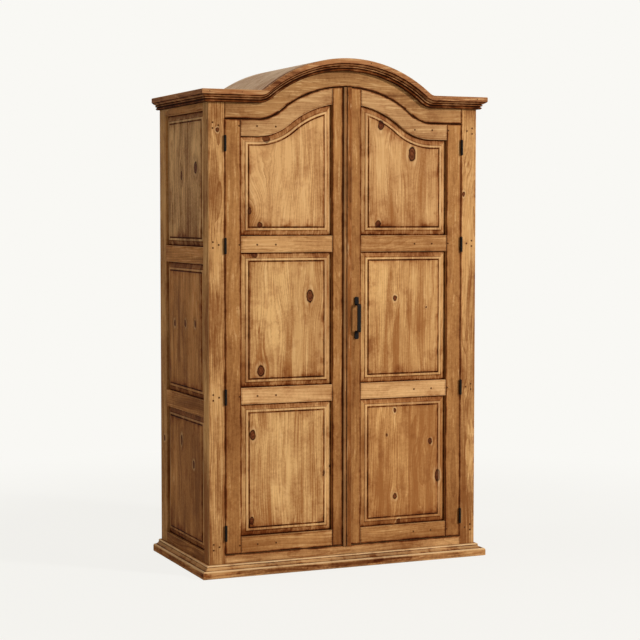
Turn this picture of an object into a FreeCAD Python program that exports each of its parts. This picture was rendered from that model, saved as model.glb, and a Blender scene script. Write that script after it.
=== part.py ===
import FreeCAD, Part
import math
import os

from FreeCAD import Vector

# A pine trastero: a frame-and-panel cabinet with an arched head, two inset doors hung on
# iron butt hinges, a moulded cornice and plinth, and shelves inside. Millimetres, Z up,
# front towards -Y, origin at the middle of the footprint on the floor.

# Case
case_width = 1148.0
case_depth = 591.0
post_width = 66.0
front_post_depth = 59.0
back_post_depth = 74.0
rail_thickness = 26.0
board_thickness = 12.0
shelf_thickness = 20.0
fit_clearance = 0.3
cut_overrun = 5.0

# Arched head: every curve at the top lies at its own offset from the line over the doors
door_bottom = 84.0
door_side_height = 1669.5
arch_rise = 134.0
crown_radius = 440.0
hollow_radius = 150.0
cornice_offset = 62.0
cornice_height = 48.0
cornice_reach = 33.8
roof_thickness = 12.0

# Doors
door_gap = 3.0
door_thickness = 26.0
stile_width = 63.5
meeting_line = -15.0
left_meeting_width = 43.5
right_meeting_width = 76.5
door_rail_height = 63.5
lower_rail_bottom = 661.0
upper_rail_bottom = 1245.0

# Joinery shared by the doors and the sides
groove_width = 6.0
groove_depth = 10.0
groove_setback = 13.0
tenon_length = 30.0
tenon_play = 0.1
panel_play = 1.0
panel_side_play = 0.15

# Raised panels, as distances in from the frame and depths behind its face
slope_width = 19.0
slope_top_depth = 8.6
bead_foot_depth = 7.2
bead_shoulder_depth = 5.3
field_depth = 4.5
bead_start = 21.0
bead_shoulder = 22.3
bead_crest = 24.6
vein_start = 30.5
vein_end = 36.8
vein_wall_run = 1.4
vein_depth = 3.6

# Sides
side_bottom_rail_foot = 12.0
side_bottom_rail_top = 88.0
side_lower_rail_bottom = 610.5
side_upper_rail_bottom = 1200.0
side_middle_rail_height = 65.3
side_top_rail_bottom = 1786.6

# Plinth
plinth_height = 48.0
plinth_reach = 35.6
plinth_band_height = 30.0
plinth_band_round = 8.0
plinth_quirk = 3.0
plinth_hollow_start = 26.0
plinth_hollow_end = 11.5
plinth_bead_height = 5.0
plinth_top_reach = 5.0

# Cornice section, from its foot up
cornice_ledge = 12.0
cornice_round_height = 9.0
cornice_round_swell = 4.5
cornice_quirk_height = 2.5
cornice_bead_height = 6.5
cornice_bead_swell = 4.0
cornice_bead_reach = 15.5
cornice_hollow_height = 9.0
cornice_hollow_reach = 27.0
cornice_hollow_sag = 3.0
cornice_fillet_height = 19.0

# Loose-joint butt hinges: one knuckle on the post leaf, one above it on the door leaf
hinge_heights = (166.0, 692.0, 1271.0, 1661.0)
hinge_length = 60.0
hinge_knuckle_radius = 4.8
hinge_stand_off = 5.2
hinge_pin_radius = 2.0
hinge_bore_play = 0.05
hinge_leaf_thickness = 1.5
hinge_leaf_play = 1.0
hinge_leaf_reach = 22.0
hinge_knuckles = 2
hinge_knuckle_gap = 0.3
hinge_pin_proud = 1.5

# Cover strip on the right door
strip_width = 33.0
strip_thickness = 8.0
strip_bead_width = 11.0
strip_vein_width = 3.0
strip_vein_depth = 2.5
strip_arris = 2.0
strip_drop = 3.5

# Bow pull
pull_x = 43.0
pull_foot = 901.0
pull_length = 166.0
pull_pad_length = 30.0
pull_pad_width = 17.0
pull_bar_width = 15.0
pull_thickness = 6.0
pull_stand = 27.5
pull_bend_radius = 5.5
pull_pad_corner = 5.0

# Inside
cleat_width = 20.0
cleat_height = 30.0
shelf_setback = 5.0
back_board_count = 8
floor_board_count = 5
board_gap = 0.6
back_board_foot = 15.0
back_head_drop = 20.0
front_rail_foot = 12.0
catch_length = 44.0
catch_height = 14.0
catch_offset = 42.0
strike_width = 24.0
strike_height = 18.0
strike_thickness = 1.5
strike_gap = 0.3

# Places worked out from the sizes above
half_width = case_width / 2
half_opening = half_width - post_width
back_y = (case_depth + plinth_reach) / 2
front_y = back_y - case_depth
door_half = half_opening - door_gap
door_top = door_bottom + door_side_height
opening_bottom = door_bottom - door_gap
front_post_back = front_y + front_post_depth
back_post_front = back_y - back_post_depth
roof_offset = cornice_offset + cornice_height
roof_under_offset = roof_offset - roof_thickness
frame_top = door_top + roof_under_offset
crown_centre_z = door_top + arch_rise - crown_radius
hollow_centre_z = door_top + hollow_radius
centre_gap = crown_radius + hollow_radius
hollow_x = math.sqrt(centre_gap ** 2 - (centre_gap - arch_rise) ** 2)
arch_angle = math.degrees(math.asin(hollow_x / centre_gap))
side_inner = half_width - rail_thickness
board_front = back_y - board_thickness
along_x = Vector(1, 0, 0)
along_y = Vector(0, 1, 0)
along_z = Vector(0, 0, 1)
origin = Vector(0, 0, 0)


def box(x0, x1, y0, y1, z0, z1):
    low = Vector(min(x0, x1), min(y0, y1), min(z0, z1))
    return Part.makeBox(abs(x1 - x0), abs(y1 - y0), abs(z1 - z0), low)


def cylinder(radius, length, start, direction):
    return Part.makeCylinder(radius, length, start, direction)


def joined(shapes):
    return shapes[0].multiFuse(shapes[1:]).removeSplitter()


def mirrored(shape):
    return shape.mirror(origin, along_x)


def save(name, shapes):
    solids = shapes if isinstance(shapes, list) else [shapes]
    shape = solids[0] if len(solids) == 1 else Part.makeCompound(solids)
    shape.exportStep("parts/" + name + ".step")


# The arched line at an offset: flat ends, a hollow arc on each side and a round crown
def crown_reach(offset):
    return (crown_radius + offset) * hollow_x / centre_gap


def line_height(x, offset):
    if abs(x) >= hollow_x:
        return door_top + offset
    if abs(x) >= crown_reach(offset):
        across = abs(x) - hollow_x
        return hollow_centre_z - math.sqrt((hollow_radius - offset) ** 2 - across ** 2)
    return crown_centre_z + math.sqrt((crown_radius + offset) ** 2 - x ** 2)


def arched_edges(x0, x1, offset, y):
    bends = (-hollow_x, -crown_reach(offset), crown_reach(offset), hollow_x)
    stops = [x0] + [bend for bend in bends if x0 < bend < x1] + [x1]
    edges = []
    for start, end in zip(stops, stops[1:]):
        middle = (start + end) / 2
        ends = [Vector(x, y, line_height(x, offset)) for x in (start, middle, end)]
        if abs(middle) > hollow_x:
            edges.append(Part.makeLine(ends[0], ends[2]))
        else:
            edges.append(Part.Arc(*ends).toShape())
    return edges


def arched_outline(x0, x1, z0, offset, y):
    corners = [
        Vector(x1, y, line_height(x1, offset)),
        Vector(x1, y, z0),
        Vector(x0, y, z0),
        Vector(x0, y, line_height(x0, offset)),
    ]
    sides = [Part.makeLine(a, b) for a, b in zip(corners, corners[1:])]
    return Part.Wire(arched_edges(x0, x1, offset, y) + sides)


def arched_board(x0, x1, y0, y1, z0, offset):
    face = Part.Face(arched_outline(min(x0, x1), max(x0, x1), z0, offset, y0))
    return face.extrude(Vector(0, y1 - y0, 0))


def arched_band(x0, x1, y0, y1, low_offset, high_offset):
    low_edges = arched_edges(x0, x1, low_offset, y0)
    high_edges = arched_edges(x0, x1, high_offset, y0)
    ends = [
        Part.makeLine(Vector(x, y0, line_height(x, low_offset)),
                      Vector(x, y0, line_height(x, high_offset)))
        for x in (x0, x1)
    ]
    wire = Part.Wire(Part.__sortEdges__(low_edges + high_edges + ends))
    return Part.Face(wire).extrude(Vector(0, y1 - y0, 0))


# Mouldings: a section of straight and arc runs, set out by reach and height
def section_face(start, runs, place):
    edges = []
    here = start
    for run in runs:
        if len(run) == 1:
            edges.append(Part.makeLine(place(*here), place(*run[0])))
        else:
            edges.append(Part.Arc(place(*here), place(*run[0]), place(*run[1])).toShape())
        here = run[-1]
    edges.append(Part.makeLine(place(*here), place(*start)))
    return Part.Face(Part.Wire(edges))


def cornice_section(place):
    bead_foot = cornice_round_height + cornice_quirk_height
    bead_top = bead_foot + cornice_bead_height
    fillet_foot = cornice_height - cornice_fillet_height
    swell = cornice_ledge + cornice_round_swell
    crest = cornice_bead_reach + cornice_bead_swell
    round_third = cornice_round_height / 3
    bead_third = cornice_bead_height / 3
    points = [
        (cornice_ledge, 0),
        (swell, round_third),
        (swell, 2 * round_third),
        (cornice_ledge, cornice_round_height),
        (cornice_ledge, bead_foot),
        (cornice_bead_reach, bead_foot),
        (crest, bead_foot + bead_third),
        (crest, bead_top - bead_third),
        (cornice_bead_reach, bead_top),
        (cornice_bead_reach + cornice_hollow_sag, (bead_top + fillet_foot) / 2),
        (cornice_hollow_reach, fillet_foot),
        (cornice_reach, fillet_foot),
        (cornice_reach, cornice_height),
        (0, cornice_height),
    ]
    return section_face((0, 0), [[point] for point in points], place)


def plinth_section(place):
    band_shoulder = plinth_band_height - plinth_band_round
    turn = plinth_band_round * (1 - math.sqrt(1 / 2))
    hollow_top = plinth_height - plinth_bead_height
    hollow_mid = ((plinth_hollow_start + plinth_hollow_end) / 2 - plinth_quirk / 2,
                  (plinth_band_height + hollow_top) / 2 - plinth_quirk / 2)
    bead_mid = ((plinth_hollow_end + plinth_top_reach) / 2 + plinth_quirk / 2,
                plinth_height - plinth_bead_height / 3)
    runs = [
        [(plinth_reach, 0)],
        [(plinth_reach, band_shoulder)],
        [(plinth_reach - turn, plinth_band_height - turn),
         (plinth_reach - plinth_band_round, plinth_band_height)],
        [(plinth_hollow_start, plinth_band_height)],
        [hollow_mid, (plinth_hollow_end, hollow_top)],
        [bead_mid, (plinth_top_reach, plinth_height)],
        [(0, plinth_height)],
    ]
    return section_face((0, 0), runs, place)


def mitre_cutter(reach, z0, z1):
    # The part of a right-hand front corner that belongs to the side moulding
    far = reach + cut_overrun
    points = [
        Vector(half_width - cut_overrun, front_y + cut_overrun, z0),
        Vector(half_width + far, front_y - far, z0),
        Vector(half_width + far, back_y + cut_overrun, z0),
        Vector(half_width - cut_overrun, back_y + cut_overrun, z0),
    ]
    outline = Part.makePolygon(points + points[:1])
    return Part.Face(outline).extrude(Vector(0, 0, z1 - z0))


def cornice_front():
    flat_z = door_top + cornice_offset
    half_span = half_width + cornice_reach
    pieces = []
    for side in (-1, 1):
        hinge = Vector(side * hollow_x, 0, hollow_centre_z)

        def at_hollow(reach, height, side=side):
            return Vector(side * hollow_x, front_y - reach, flat_z + height)

        section = cornice_section(at_hollow)
        pieces.append(section.extrude(Vector(side * (half_span - hollow_x), 0, 0)))
        pieces.append(section.revolve(hinge, along_y, side * arch_angle))

    def at_crown(reach, height):
        return Vector(0, front_y - reach, flat_z + arch_rise + height)

    centre = Vector(0, 0, crown_centre_z)
    crown = cornice_section(at_crown)
    crown.rotate(centre, along_y, -arch_angle)
    pieces.append(crown.revolve(centre, along_y, 2 * arch_angle))
    cutter = mitre_cutter(cornice_reach, flat_z - cut_overrun, flat_z + 2 * cornice_height)
    return joined(pieces).cut(cutter).cut(mirrored(cutter))


def cornice_side():
    flat_z = door_top + cornice_offset
    start_y = front_y - cornice_reach

    def at_side(reach, height):
        return Vector(half_width + reach, start_y, flat_z + height)

    run = cornice_section(at_side).extrude(Vector(0, back_y - start_y, 0))
    return run.common(mitre_cutter(cornice_reach, flat_z - cut_overrun, flat_z + 2 * cornice_height))


def plinth_front():
    start_x = -half_width - plinth_reach

    def at_front(reach, height):
        return Vector(start_x, front_y - reach, height)

    run = plinth_section(at_front).extrude(Vector(-2 * start_x, 0, 0))
    cutter = mitre_cutter(plinth_reach, -cut_overrun, 2 * plinth_height)
    return run.cut(cutter).cut(mirrored(cutter))


def plinth_side():
    start_y = front_y - plinth_reach

    def at_side(reach, height):
        return Vector(half_width + reach, start_y, height)

    run = plinth_section(at_side).extrude(Vector(0, back_y - start_y, 0))
    return run.common(mitre_cutter(plinth_reach, -cut_overrun, 2 * plinth_height))


# Raised panels: outline(inset, y) gives the panel's outline, shrunk by inset, at depth y
def frustum(outline, start_inset, start_y, end_inset, end_y):
    wires = [outline(start_inset, start_y), outline(end_inset, end_y)]
    return Part.makeLoft(wires, True, True)


def raised_panel(outline, face_y):
    tongue_front = face_y + groove_setback + panel_side_play
    tongue_back = face_y + groove_setback + groove_width - panel_side_play
    tongue = Part.Face(outline(panel_play - groove_depth, tongue_front))
    slope_y = face_y + slope_top_depth
    foot_y = face_y + bead_foot_depth
    shoulder_y = face_y + bead_shoulder_depth
    field_y = face_y + field_depth
    pieces = [
        tongue.extrude(Vector(0, tongue_back - tongue_front, 0)),
        frustum(outline, 0, tongue_front, slope_width, slope_y),
        frustum(outline, bead_start, slope_y, bead_start, foot_y),
        frustum(outline, bead_start, foot_y, bead_shoulder, shoulder_y),
        frustum(outline, bead_shoulder, shoulder_y, bead_crest, field_y),
    ]
    floor_y = field_y + vein_depth
    vein = frustum(outline, vein_start, field_y, vein_start + vein_wall_run, floor_y)
    island = frustum(outline, vein_end, field_y, vein_end - vein_wall_run, floor_y)
    return joined(pieces).cut(vein.cut(island))


def flat_panel(x0, x1, z0, z1, face_y):
    def outline(inset, y):
        low_x, high_x = min(x0, x1) + inset, max(x0, x1) - inset
        low_z, high_z = z0 + inset, z1 - inset
        corners = [
            Vector(low_x, y, low_z),
            Vector(high_x, y, low_z),
            Vector(high_x, y, high_z),
            Vector(low_x, y, high_z),
        ]
        return Part.makePolygon(corners + corners[:1])

    return raised_panel(outline, face_y)


def arched_panel(x0, x1, z0, offset, face_y):
    def outline(inset, y):
        low_x, high_x = min(x0, x1) + inset, max(x0, x1) - inset
        return arched_outline(low_x, high_x, z0 + inset, offset - inset, y)

    return raised_panel(outline, face_y)


# Frame joints: a tenon as thick as the groove, and the mortise that takes it
def tongue_span(face):
    return face + groove_setback, face + groove_setback + groove_width


def tenon(x0, x1, z0, z1, face):
    near, far = tongue_span(face)
    return box(x0, x1, near + tenon_play, far - tenon_play, z0, z1)


def mortise(x0, x1, z0, z1, face):
    near, far = tongue_span(face)
    return box(x0, x1, near, far, z0 - tenon_play, z1 + tenon_play)


# Case
side_rail_levels = (
    (side_bottom_rail_foot, side_bottom_rail_top),
    (side_lower_rail_bottom, side_lower_rail_bottom + side_middle_rail_height),
    (side_upper_rail_bottom, side_upper_rail_bottom + side_middle_rail_height),
    (side_top_rail_bottom, frame_top),
)
side_groove_outer = half_width - groove_setback
side_groove_inner = side_groove_outer - groove_width


def side_tenon_height(level):
    return level[0] + groove_depth, level[1] - groove_depth


def side_frame_cuts(post_edge, direction):
    # Panel groove and rail mortises in a right-hand post, cut in from post_edge
    deep = post_edge + direction * groove_depth
    cuts = [box(side_groove_inner, side_groove_outer, post_edge, deep, 0, frame_top)]
    for level in side_rail_levels:
        low, high = side_tenon_height(level)
        end = post_edge + direction * (tenon_length + tenon_play)
        cuts.append(box(side_groove_inner, side_groove_outer, post_edge, end,
                        low - tenon_play, high + tenon_play))
    return cuts


def cross_rail_mortise(rail_face, low, high):
    # Mortise in a right-hand post for the tenon of a rail that runs along X
    return mortise(half_opening, half_opening + tenon_length + tenon_play, low, high, rail_face)


front_tenon_levels = (
    (front_rail_foot + groove_depth, opening_bottom - groove_depth),
    (door_top + door_gap + groove_depth, frame_top - groove_depth),
)
back_rail_face = board_front - rail_thickness
back_head_bottom = door_top - back_head_drop
back_tenon_levels = (
    (front_rail_foot + groove_depth, opening_bottom - groove_depth),
    (back_head_bottom + groove_depth, frame_top - groove_depth),
)


def front_post():
    post = box(half_opening, half_width, front_y, front_post_back, 0, frame_top)
    cuts = side_frame_cuts(front_post_back, -1)
    cuts += [cross_rail_mortise(front_y, low, high) for low, high in front_tenon_levels]
    cuts += [leaf_recess(half_opening, level) for level in hinge_heights]
    return post.cut(Part.makeCompound(cuts))


def back_post():
    post = box(half_opening, half_width, back_post_front, back_y, 0, frame_top)
    cuts = side_frame_cuts(back_post_front, 1)
    cuts += [cross_rail_mortise(back_rail_face, low, high) for low, high in back_tenon_levels]
    return post.cut(Part.makeCompound(cuts))


def side_rail(level):
    bottom, top = level
    rail = box(side_inner, half_width, front_post_back, back_post_front, bottom, top)
    low, high = side_tenon_height(level)
    tongue = box(side_groove_inner + tenon_play, side_groove_outer - tenon_play,
                 front_post_back - tenon_length, back_post_front + tenon_length, low, high)
    cuts = []
    if bottom > side_bottom_rail_top:
        cuts.append(box(side_groove_inner, side_groove_outer, front_post_back,
                        back_post_front, bottom, low))
    if top < frame_top:
        cuts.append(box(side_groove_inner, side_groove_outer, front_post_back,
                        back_post_front, high, top))
    return joined([rail, tongue]).cut(Part.makeCompound(cuts))


def side_panel(bottom, top):
    # Made facing the front, then turned to face the right-hand side
    panel = flat_panel(front_post_back, back_post_front, bottom, top, 0)
    panel.rotate(origin, along_z, 90)
    panel.translate(Vector(half_width, 0, 0))
    return panel


def front_head_rail():
    low = door_gap
    head = arched_band(-half_opening, half_opening, front_y, front_y + rail_thickness,
                       low, roof_under_offset)
    reach = half_opening + tenon_length
    bottom, top = front_tenon_levels[1]
    ends = [tenon(side * half_opening, side * reach, bottom, top, front_y) for side in (-1, 1)]
    return joined([head] + ends)


def front_bottom_rail():
    rail = box(-half_opening, half_opening, front_y, front_y + rail_thickness,
               front_rail_foot, opening_bottom)
    reach = half_opening + tenon_length
    bottom, top = front_tenon_levels[0]
    return joined([rail, tenon(-reach, reach, bottom, top, front_y)])


def back_head_rail():
    rail = arched_board(-half_opening, half_opening, back_rail_face, board_front,
                        back_head_bottom, roof_under_offset)
    reach = half_opening + tenon_length
    bottom, top = back_tenon_levels[1]
    return joined([rail, tenon(-reach, reach, bottom, top, back_rail_face)])


def back_bottom_rail():
    rail = box(-half_opening, half_opening, back_rail_face, board_front,
               front_rail_foot, opening_bottom)
    reach = half_opening + tenon_length
    bottom, top = back_tenon_levels[0]
    return joined([rail, tenon(-reach, reach, bottom, top, back_rail_face)])


def back_boards():
    pitch = 2 * half_opening / back_board_count
    boards = []
    for index in range(back_board_count):
        start = -half_opening + index * pitch + board_gap / 2
        boards.append(arched_board(start, start + pitch - board_gap, board_front, back_y,
                                   back_board_foot, roof_under_offset))
    return boards


def shelf_plan(front, bottom, thickness):
    # A board notched round the four posts
    wide = side_inner - fit_clearance
    narrow = half_opening - fit_clearance
    back = board_front - fit_clearance
    near = front_post_back + fit_clearance
    far = back_post_front - fit_clearance
    middle = box(-wide, wide, near, far, bottom, bottom + thickness)
    length = box(-narrow, narrow, front, back, bottom, bottom + thickness)
    return joined([middle, length])


def floor_boards():
    bottom = opening_bottom - shelf_thickness
    front = front_y + rail_thickness
    whole = shelf_plan(front, bottom, shelf_thickness)
    whole = whole.cut(box(-half_opening, half_opening, back_rail_face, back_y,
                          bottom, opening_bottom))
    pitch = 2 * side_inner / floor_board_count
    boards = []
    for index in range(floor_board_count):
        start = -side_inner + index * pitch + board_gap / 2
        strip = box(start, start + pitch - board_gap, front_y, back_y, bottom, opening_bottom)
        boards.append(whole.common(strip).Solids[0])
    return boards


def cleat_tops():
    tops = [opening_bottom - shelf_thickness]
    for rail_bottom in (side_lower_rail_bottom, side_upper_rail_bottom):
        tops.append(rail_bottom + (side_middle_rail_height + cleat_height) / 2)
    return tops


def shelf(index):
    front = front_y + door_thickness + shelf_setback
    return shelf_plan(front, cleat_tops()[index], shelf_thickness)


def shelf_cleats():
    cleats = []
    for top in cleat_tops():
        right = box(side_inner - cleat_width, side_inner, front_post_back, back_post_front,
                    top - cleat_height, top)
        cleats += [right, mirrored(right)]
    return cleats


def roof():
    return arched_band(-half_width, half_width, front_y, back_y, roof_under_offset, roof_offset)


# Hinges: the axis stands off the face in the middle of the gap between door and post
hinge_x = half_opening - door_gap / 2
hinge_y = front_y - hinge_stand_off
knuckle_length = (hinge_length - (hinge_knuckles - 1) * hinge_knuckle_gap) / hinge_knuckles


def leaf_recess(face_x, level):
    # Seat of one leaf in the edge at face_x on the right-hand side
    depth = hinge_leaf_thickness + (hinge_leaf_play - door_gap) / 2
    outward = 1 if face_x > hinge_x else -1
    low = level - hinge_length / 2 - tenon_play
    high = level + hinge_length / 2 + tenon_play
    return box(face_x, face_x + outward * depth, front_y,
               front_y + hinge_leaf_reach + tenon_play, low, high)


def hinge_leaf(level, outward, first):
    # outward is 1 for the post leaf and -1 for the door leaf of a right-hand hinge
    foot = level - hinge_length / 2
    inner = hinge_x + outward * hinge_leaf_play / 2
    outer = inner + outward * hinge_leaf_thickness
    plate = box(inner, outer, hinge_y, front_y + hinge_leaf_reach, foot, foot + hinge_length)
    barrels = []
    clear = []
    for index in range(hinge_knuckles):
        low = foot + index * (knuckle_length + hinge_knuckle_gap)
        if index % 2 == first:
            barrels.append(cylinder(hinge_knuckle_radius, knuckle_length,
                                    Vector(hinge_x, hinge_y, low), along_z))
        else:
            clear.append(box(inner, outer, hinge_y,
                             hinge_y + hinge_knuckle_radius + hinge_knuckle_gap,
                             low - hinge_knuckle_gap, low + knuckle_length + hinge_knuckle_gap))
    bore = cylinder(hinge_pin_radius + hinge_bore_play, hinge_length,
                    Vector(hinge_x, hinge_y, foot), along_z)
    plate = plate.cut(Part.makeCompound(clear))
    return joined([plate] + barrels).cut(bore)


def hinge_pin(level):
    foot = level - hinge_length / 2 - hinge_pin_proud
    length = hinge_length + 2 * hinge_pin_proud
    return cylinder(hinge_pin_radius, length, Vector(hinge_x, hinge_y, foot), along_z)


def both_sides(solids):
    return solids + [mirrored(solid) for solid in solids]


# Doors
door_rail_levels = (
    (door_bottom, door_bottom + door_rail_height),
    (lower_rail_bottom, lower_rail_bottom + door_rail_height),
    (upper_rail_bottom, upper_rail_bottom + door_rail_height),
)


def door_edges(side):
    # Hinge edge, recess edge on the hinge side, recess edge and edge at the meeting line
    meeting_width = right_meeting_width if side > 0 else left_meeting_width
    meeting_edge = meeting_line + side * door_gap / 2
    return (side * door_half, side * (door_half - stile_width),
            meeting_edge + side * meeting_width, meeting_edge)


def head_tenon_height(x):
    return (line_height(x, -door_rail_height) + 2 * groove_depth,
            line_height(x, 0) - 2 * groove_depth)


def stile_cuts(recess, way):
    # Panel groove and mortises in a stile, cut from its recess edge towards way
    deep = recess + way * groove_depth
    end = recess + way * (tenon_length + tenon_play)
    head_low, head_high = head_tenon_height(recess)
    cuts = [
        mortise(recess, deep, door_bottom, head_low, front_y),
        mortise(recess, end, head_low, head_high, front_y),
    ]
    for bottom, top in door_rail_levels:
        cuts.append(mortise(recess, end, bottom + groove_depth, top - groove_depth, front_y))
    return cuts


def hinge_stile(side):
    edge, recess = door_edges(side)[:2]
    back = front_y + door_thickness
    stile = box(edge, recess, front_y, back, door_bottom, door_top)
    cuts = stile_cuts(recess, side)
    seats = [leaf_recess(door_half, level) for level in hinge_heights]
    cuts += seats if side > 0 else [mirrored(seat) for seat in seats]
    return stile.cut(Part.makeCompound(cuts))


def meeting_stile(side):
    recess, edge = door_edges(side)[2:]
    back = front_y + door_thickness
    stile = arched_board(edge, recess, front_y, back, door_bottom, 0)
    return stile.cut(Part.makeCompound(stile_cuts(recess, -side)))


def door_rail(side, index):
    bottom, top = door_rail_levels[index]
    near, far = door_edges(side)[1:3]
    back = front_y + door_thickness
    body = box(near, far, front_y, back, bottom, top)
    ends = tenon(near + side * tenon_length, far - side * tenon_length,
                 bottom + groove_depth, top - groove_depth, front_y)
    cuts = [mortise(near, far, top - groove_depth, top, front_y)]
    if bottom > door_bottom:
        cuts.append(mortise(near, far, bottom, bottom + groove_depth, front_y))
    grooved = body.cut(Part.makeCompound(cuts))
    return joined([grooved, ends])


def door_head_rail(side):
    near, far = door_edges(side)[1:3]
    low_x, high_x = min(near, far), max(near, far)
    body = arched_band(low_x, high_x, front_y, front_y + door_thickness, -door_rail_height, 0)
    groove_near, groove_far = tongue_span(front_y)
    groove = arched_band(low_x, high_x, groove_near, groove_far,
                         -door_rail_height - cut_overrun, groove_depth - door_rail_height)
    body = body.cut(groove)
    ends = []
    for x, way in ((near, side), (far, -side)):
        low, high = head_tenon_height(x)
        ends.append(tenon(x - way * groove_depth, x + way * tenon_length, low, high, front_y))
    return joined([body] + ends)


def door_panels(side):
    near, far = door_edges(side)[1:3]
    low, middle, high = door_rail_levels
    return {
        "bottom_panel": flat_panel(near, far, low[1], middle[0], front_y),
        "middle_panel": flat_panel(near, far, middle[1], high[0], front_y),
        "top_panel": arched_panel(near, far, high[1], -door_rail_height, front_y),
    }


def meeting_strip():
    left = door_edges(1)[3]
    right = left + strip_width
    foot = door_bottom - strip_drop
    crest = front_y - strip_thickness
    bead_right = left + strip_bead_width
    vein_right = bead_right + strip_vein_width
    vein_y = crest + strip_vein_depth
    bead_side = crest + strip_bead_width / 2
    points = [
        ((left, bead_side),),
        ((left + strip_bead_width / 2, crest), (bead_right, vein_y)),
        ((bead_right + strip_vein_width / 2, vein_y + strip_arris / 2), (vein_right, vein_y)),
        ((vein_right + strip_arris / 2, crest + strip_arris / 2), (vein_right + strip_arris, crest)),
        ((right - strip_arris, crest),),
        ((right - strip_arris / 3, crest + strip_arris / 3), (right, crest + strip_arris)),
        ((right, front_y),),
    ]
    section = section_face((left, front_y), points, lambda x, y: Vector(x, y, foot))
    rough = section.extrude(Vector(0, 0, door_top + arch_rise - foot))
    return rough.common(arched_board(left, right, crest, front_y, foot, 0))


def pull_handle():
    # A flat iron strap bent into two pads, two legs and a straight bar
    pad_y = front_y - pull_thickness / 2
    bar_y = front_y - pull_stand
    head = pull_foot + pull_length
    leg_low = pull_foot + pull_pad_length
    leg_high = head - pull_pad_length
    turn = pull_bend_radius * (1 - math.sqrt(1 / 2))
    bend = pull_bend_radius
    stations = [
        ((pad_y, leg_low - bend),),
        ((pad_y - turn, leg_low - turn), (pad_y - bend, leg_low)),
        ((bar_y + bend, leg_low),),
        ((bar_y + turn, leg_low + turn), (bar_y, leg_low + bend)),
        ((bar_y, leg_high - bend),),
        ((bar_y + turn, leg_high - turn), (bar_y + bend, leg_high)),
        ((pad_y - bend, leg_high),),
        ((pad_y - turn, leg_high + turn), (pad_y, leg_high + bend)),
        ((pad_y, head),),
    ]
    here = Vector(pull_x, pad_y, pull_foot)
    edges = []
    for station in stations:
        ends = [Vector(pull_x, y, z) for y, z in station]
        if len(ends) == 1:
            edges.append(Part.makeLine(here, ends[0]))
        else:
            edges.append(Part.Arc(here, ends[0], ends[1]).toShape())
        here = ends[-1]
    half = pull_pad_width / 2
    section = [
        Vector(pull_x + dx, pad_y + dy, pull_foot)
        for dx, dy in ((-half, -pull_thickness / 2), (half, -pull_thickness / 2),
                       (half, pull_thickness / 2), (-half, pull_thickness / 2))
    ]
    strap = Part.Wire(edges).makePipe(Part.Face(Part.makePolygon(section + section[:1])))
    front = front_y - pull_stand - pull_thickness
    pads = []
    for low, high in ((pull_foot, leg_low), (leg_high, head)):
        pad = box(pull_x - half, pull_x + half, front, front_y, low, high)
        corners = [e for e in pad.Edges if abs(e.tangentAt(e.FirstParameter).y) > 1 / 2
                   and (abs(e.Vertexes[0].Z - pull_foot) < fit_clearance
                        or abs(e.Vertexes[0].Z - head) < fit_clearance)]
        pads.append(pad.makeFillet(pull_pad_corner, corners))
    bar = box(pull_x - pull_bar_width / 2, pull_x + pull_bar_width / 2, front, front_y,
              leg_low, leg_high)
    return strap.common(joined(pads + [bar]))


def door_catches():
    # Magnetic catches under the upper shelf
    top = cleat_tops()[2]
    near = front_y + door_thickness + strike_thickness + strike_gap
    far = near + catch_length
    catches = []
    for side in (-1, 1):
        centre = meeting_line + side * catch_offset
        catches.append(box(centre - strike_width / 2, centre + strike_width / 2, near, far,
                           top - catch_height, top))
    return catches


def strike_plate(side):
    near = front_y + door_thickness
    centre = meeting_line + side * catch_offset
    middle = cleat_tops()[2] - catch_height / 2
    return box(centre - strike_width / 2, centre + strike_width / 2, near,
               near + strike_thickness, middle - strike_height / 2, middle + strike_height / 2)


def save_case():
    posts = {"front": front_post(), "back": back_post()}
    for place, post in posts.items():
        save(place + "_right_post", post)
        save(place + "_left_post", mirrored(post))
    rails = [side_rail(level) for level in side_rail_levels]
    panel_levels = zip(side_rail_levels, side_rail_levels[1:])
    panels = [side_panel(low[1], high[0]) for low, high in panel_levels]
    for side, place in ((1, "right"), (-1, "left")):
        turned = [rail if side > 0 else mirrored(rail) for rail in rails]
        save(place + "_side_bottom_rail", turned[0])
        save(place + "_side_middle_rails", turned[1:3])
        save(place + "_side_top_rail", turned[3])
        for name, panel in zip(("bottom", "middle", "top"), panels):
            shown = panel if side > 0 else mirrored(panel)
            save(place + "_side_" + name + "_panel", shown)
    save("front_head_rail", front_head_rail())
    save("front_bottom_rail", front_bottom_rail())
    save("back_head_rail", back_head_rail())
    save("back_bottom_rail", back_bottom_rail())
    save("back_boards", back_boards())
    save("floor_boards", floor_boards())
    save("lower_shelf", shelf(1))
    save("upper_shelf", shelf(2))
    save("shelf_cleats", shelf_cleats())
    save("roof", roof())
    save("door_catches", door_catches())


def save_mouldings():
    save("cornice_front", cornice_front())
    save("plinth_front", plinth_front())
    right_cornice = cornice_side()
    right_plinth = plinth_side()
    save("cornice_right", right_cornice)
    save("cornice_left", mirrored(right_cornice))
    save("plinth_right", right_plinth)
    save("plinth_left", mirrored(right_plinth))


def save_hinges():
    post_leaves = [hinge_leaf(level, 1, 0) for level in hinge_heights]
    door_leaves = [hinge_leaf(level, -1, 1) for level in hinge_heights]
    save("hinge_post_leaves", both_sides(post_leaves))
    save("hinge_pins", both_sides([hinge_pin(level) for level in hinge_heights]))
    save("right_door_hinge_leaves", door_leaves)
    save("left_door_hinge_leaves", [mirrored(leaf) for leaf in door_leaves])


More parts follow.
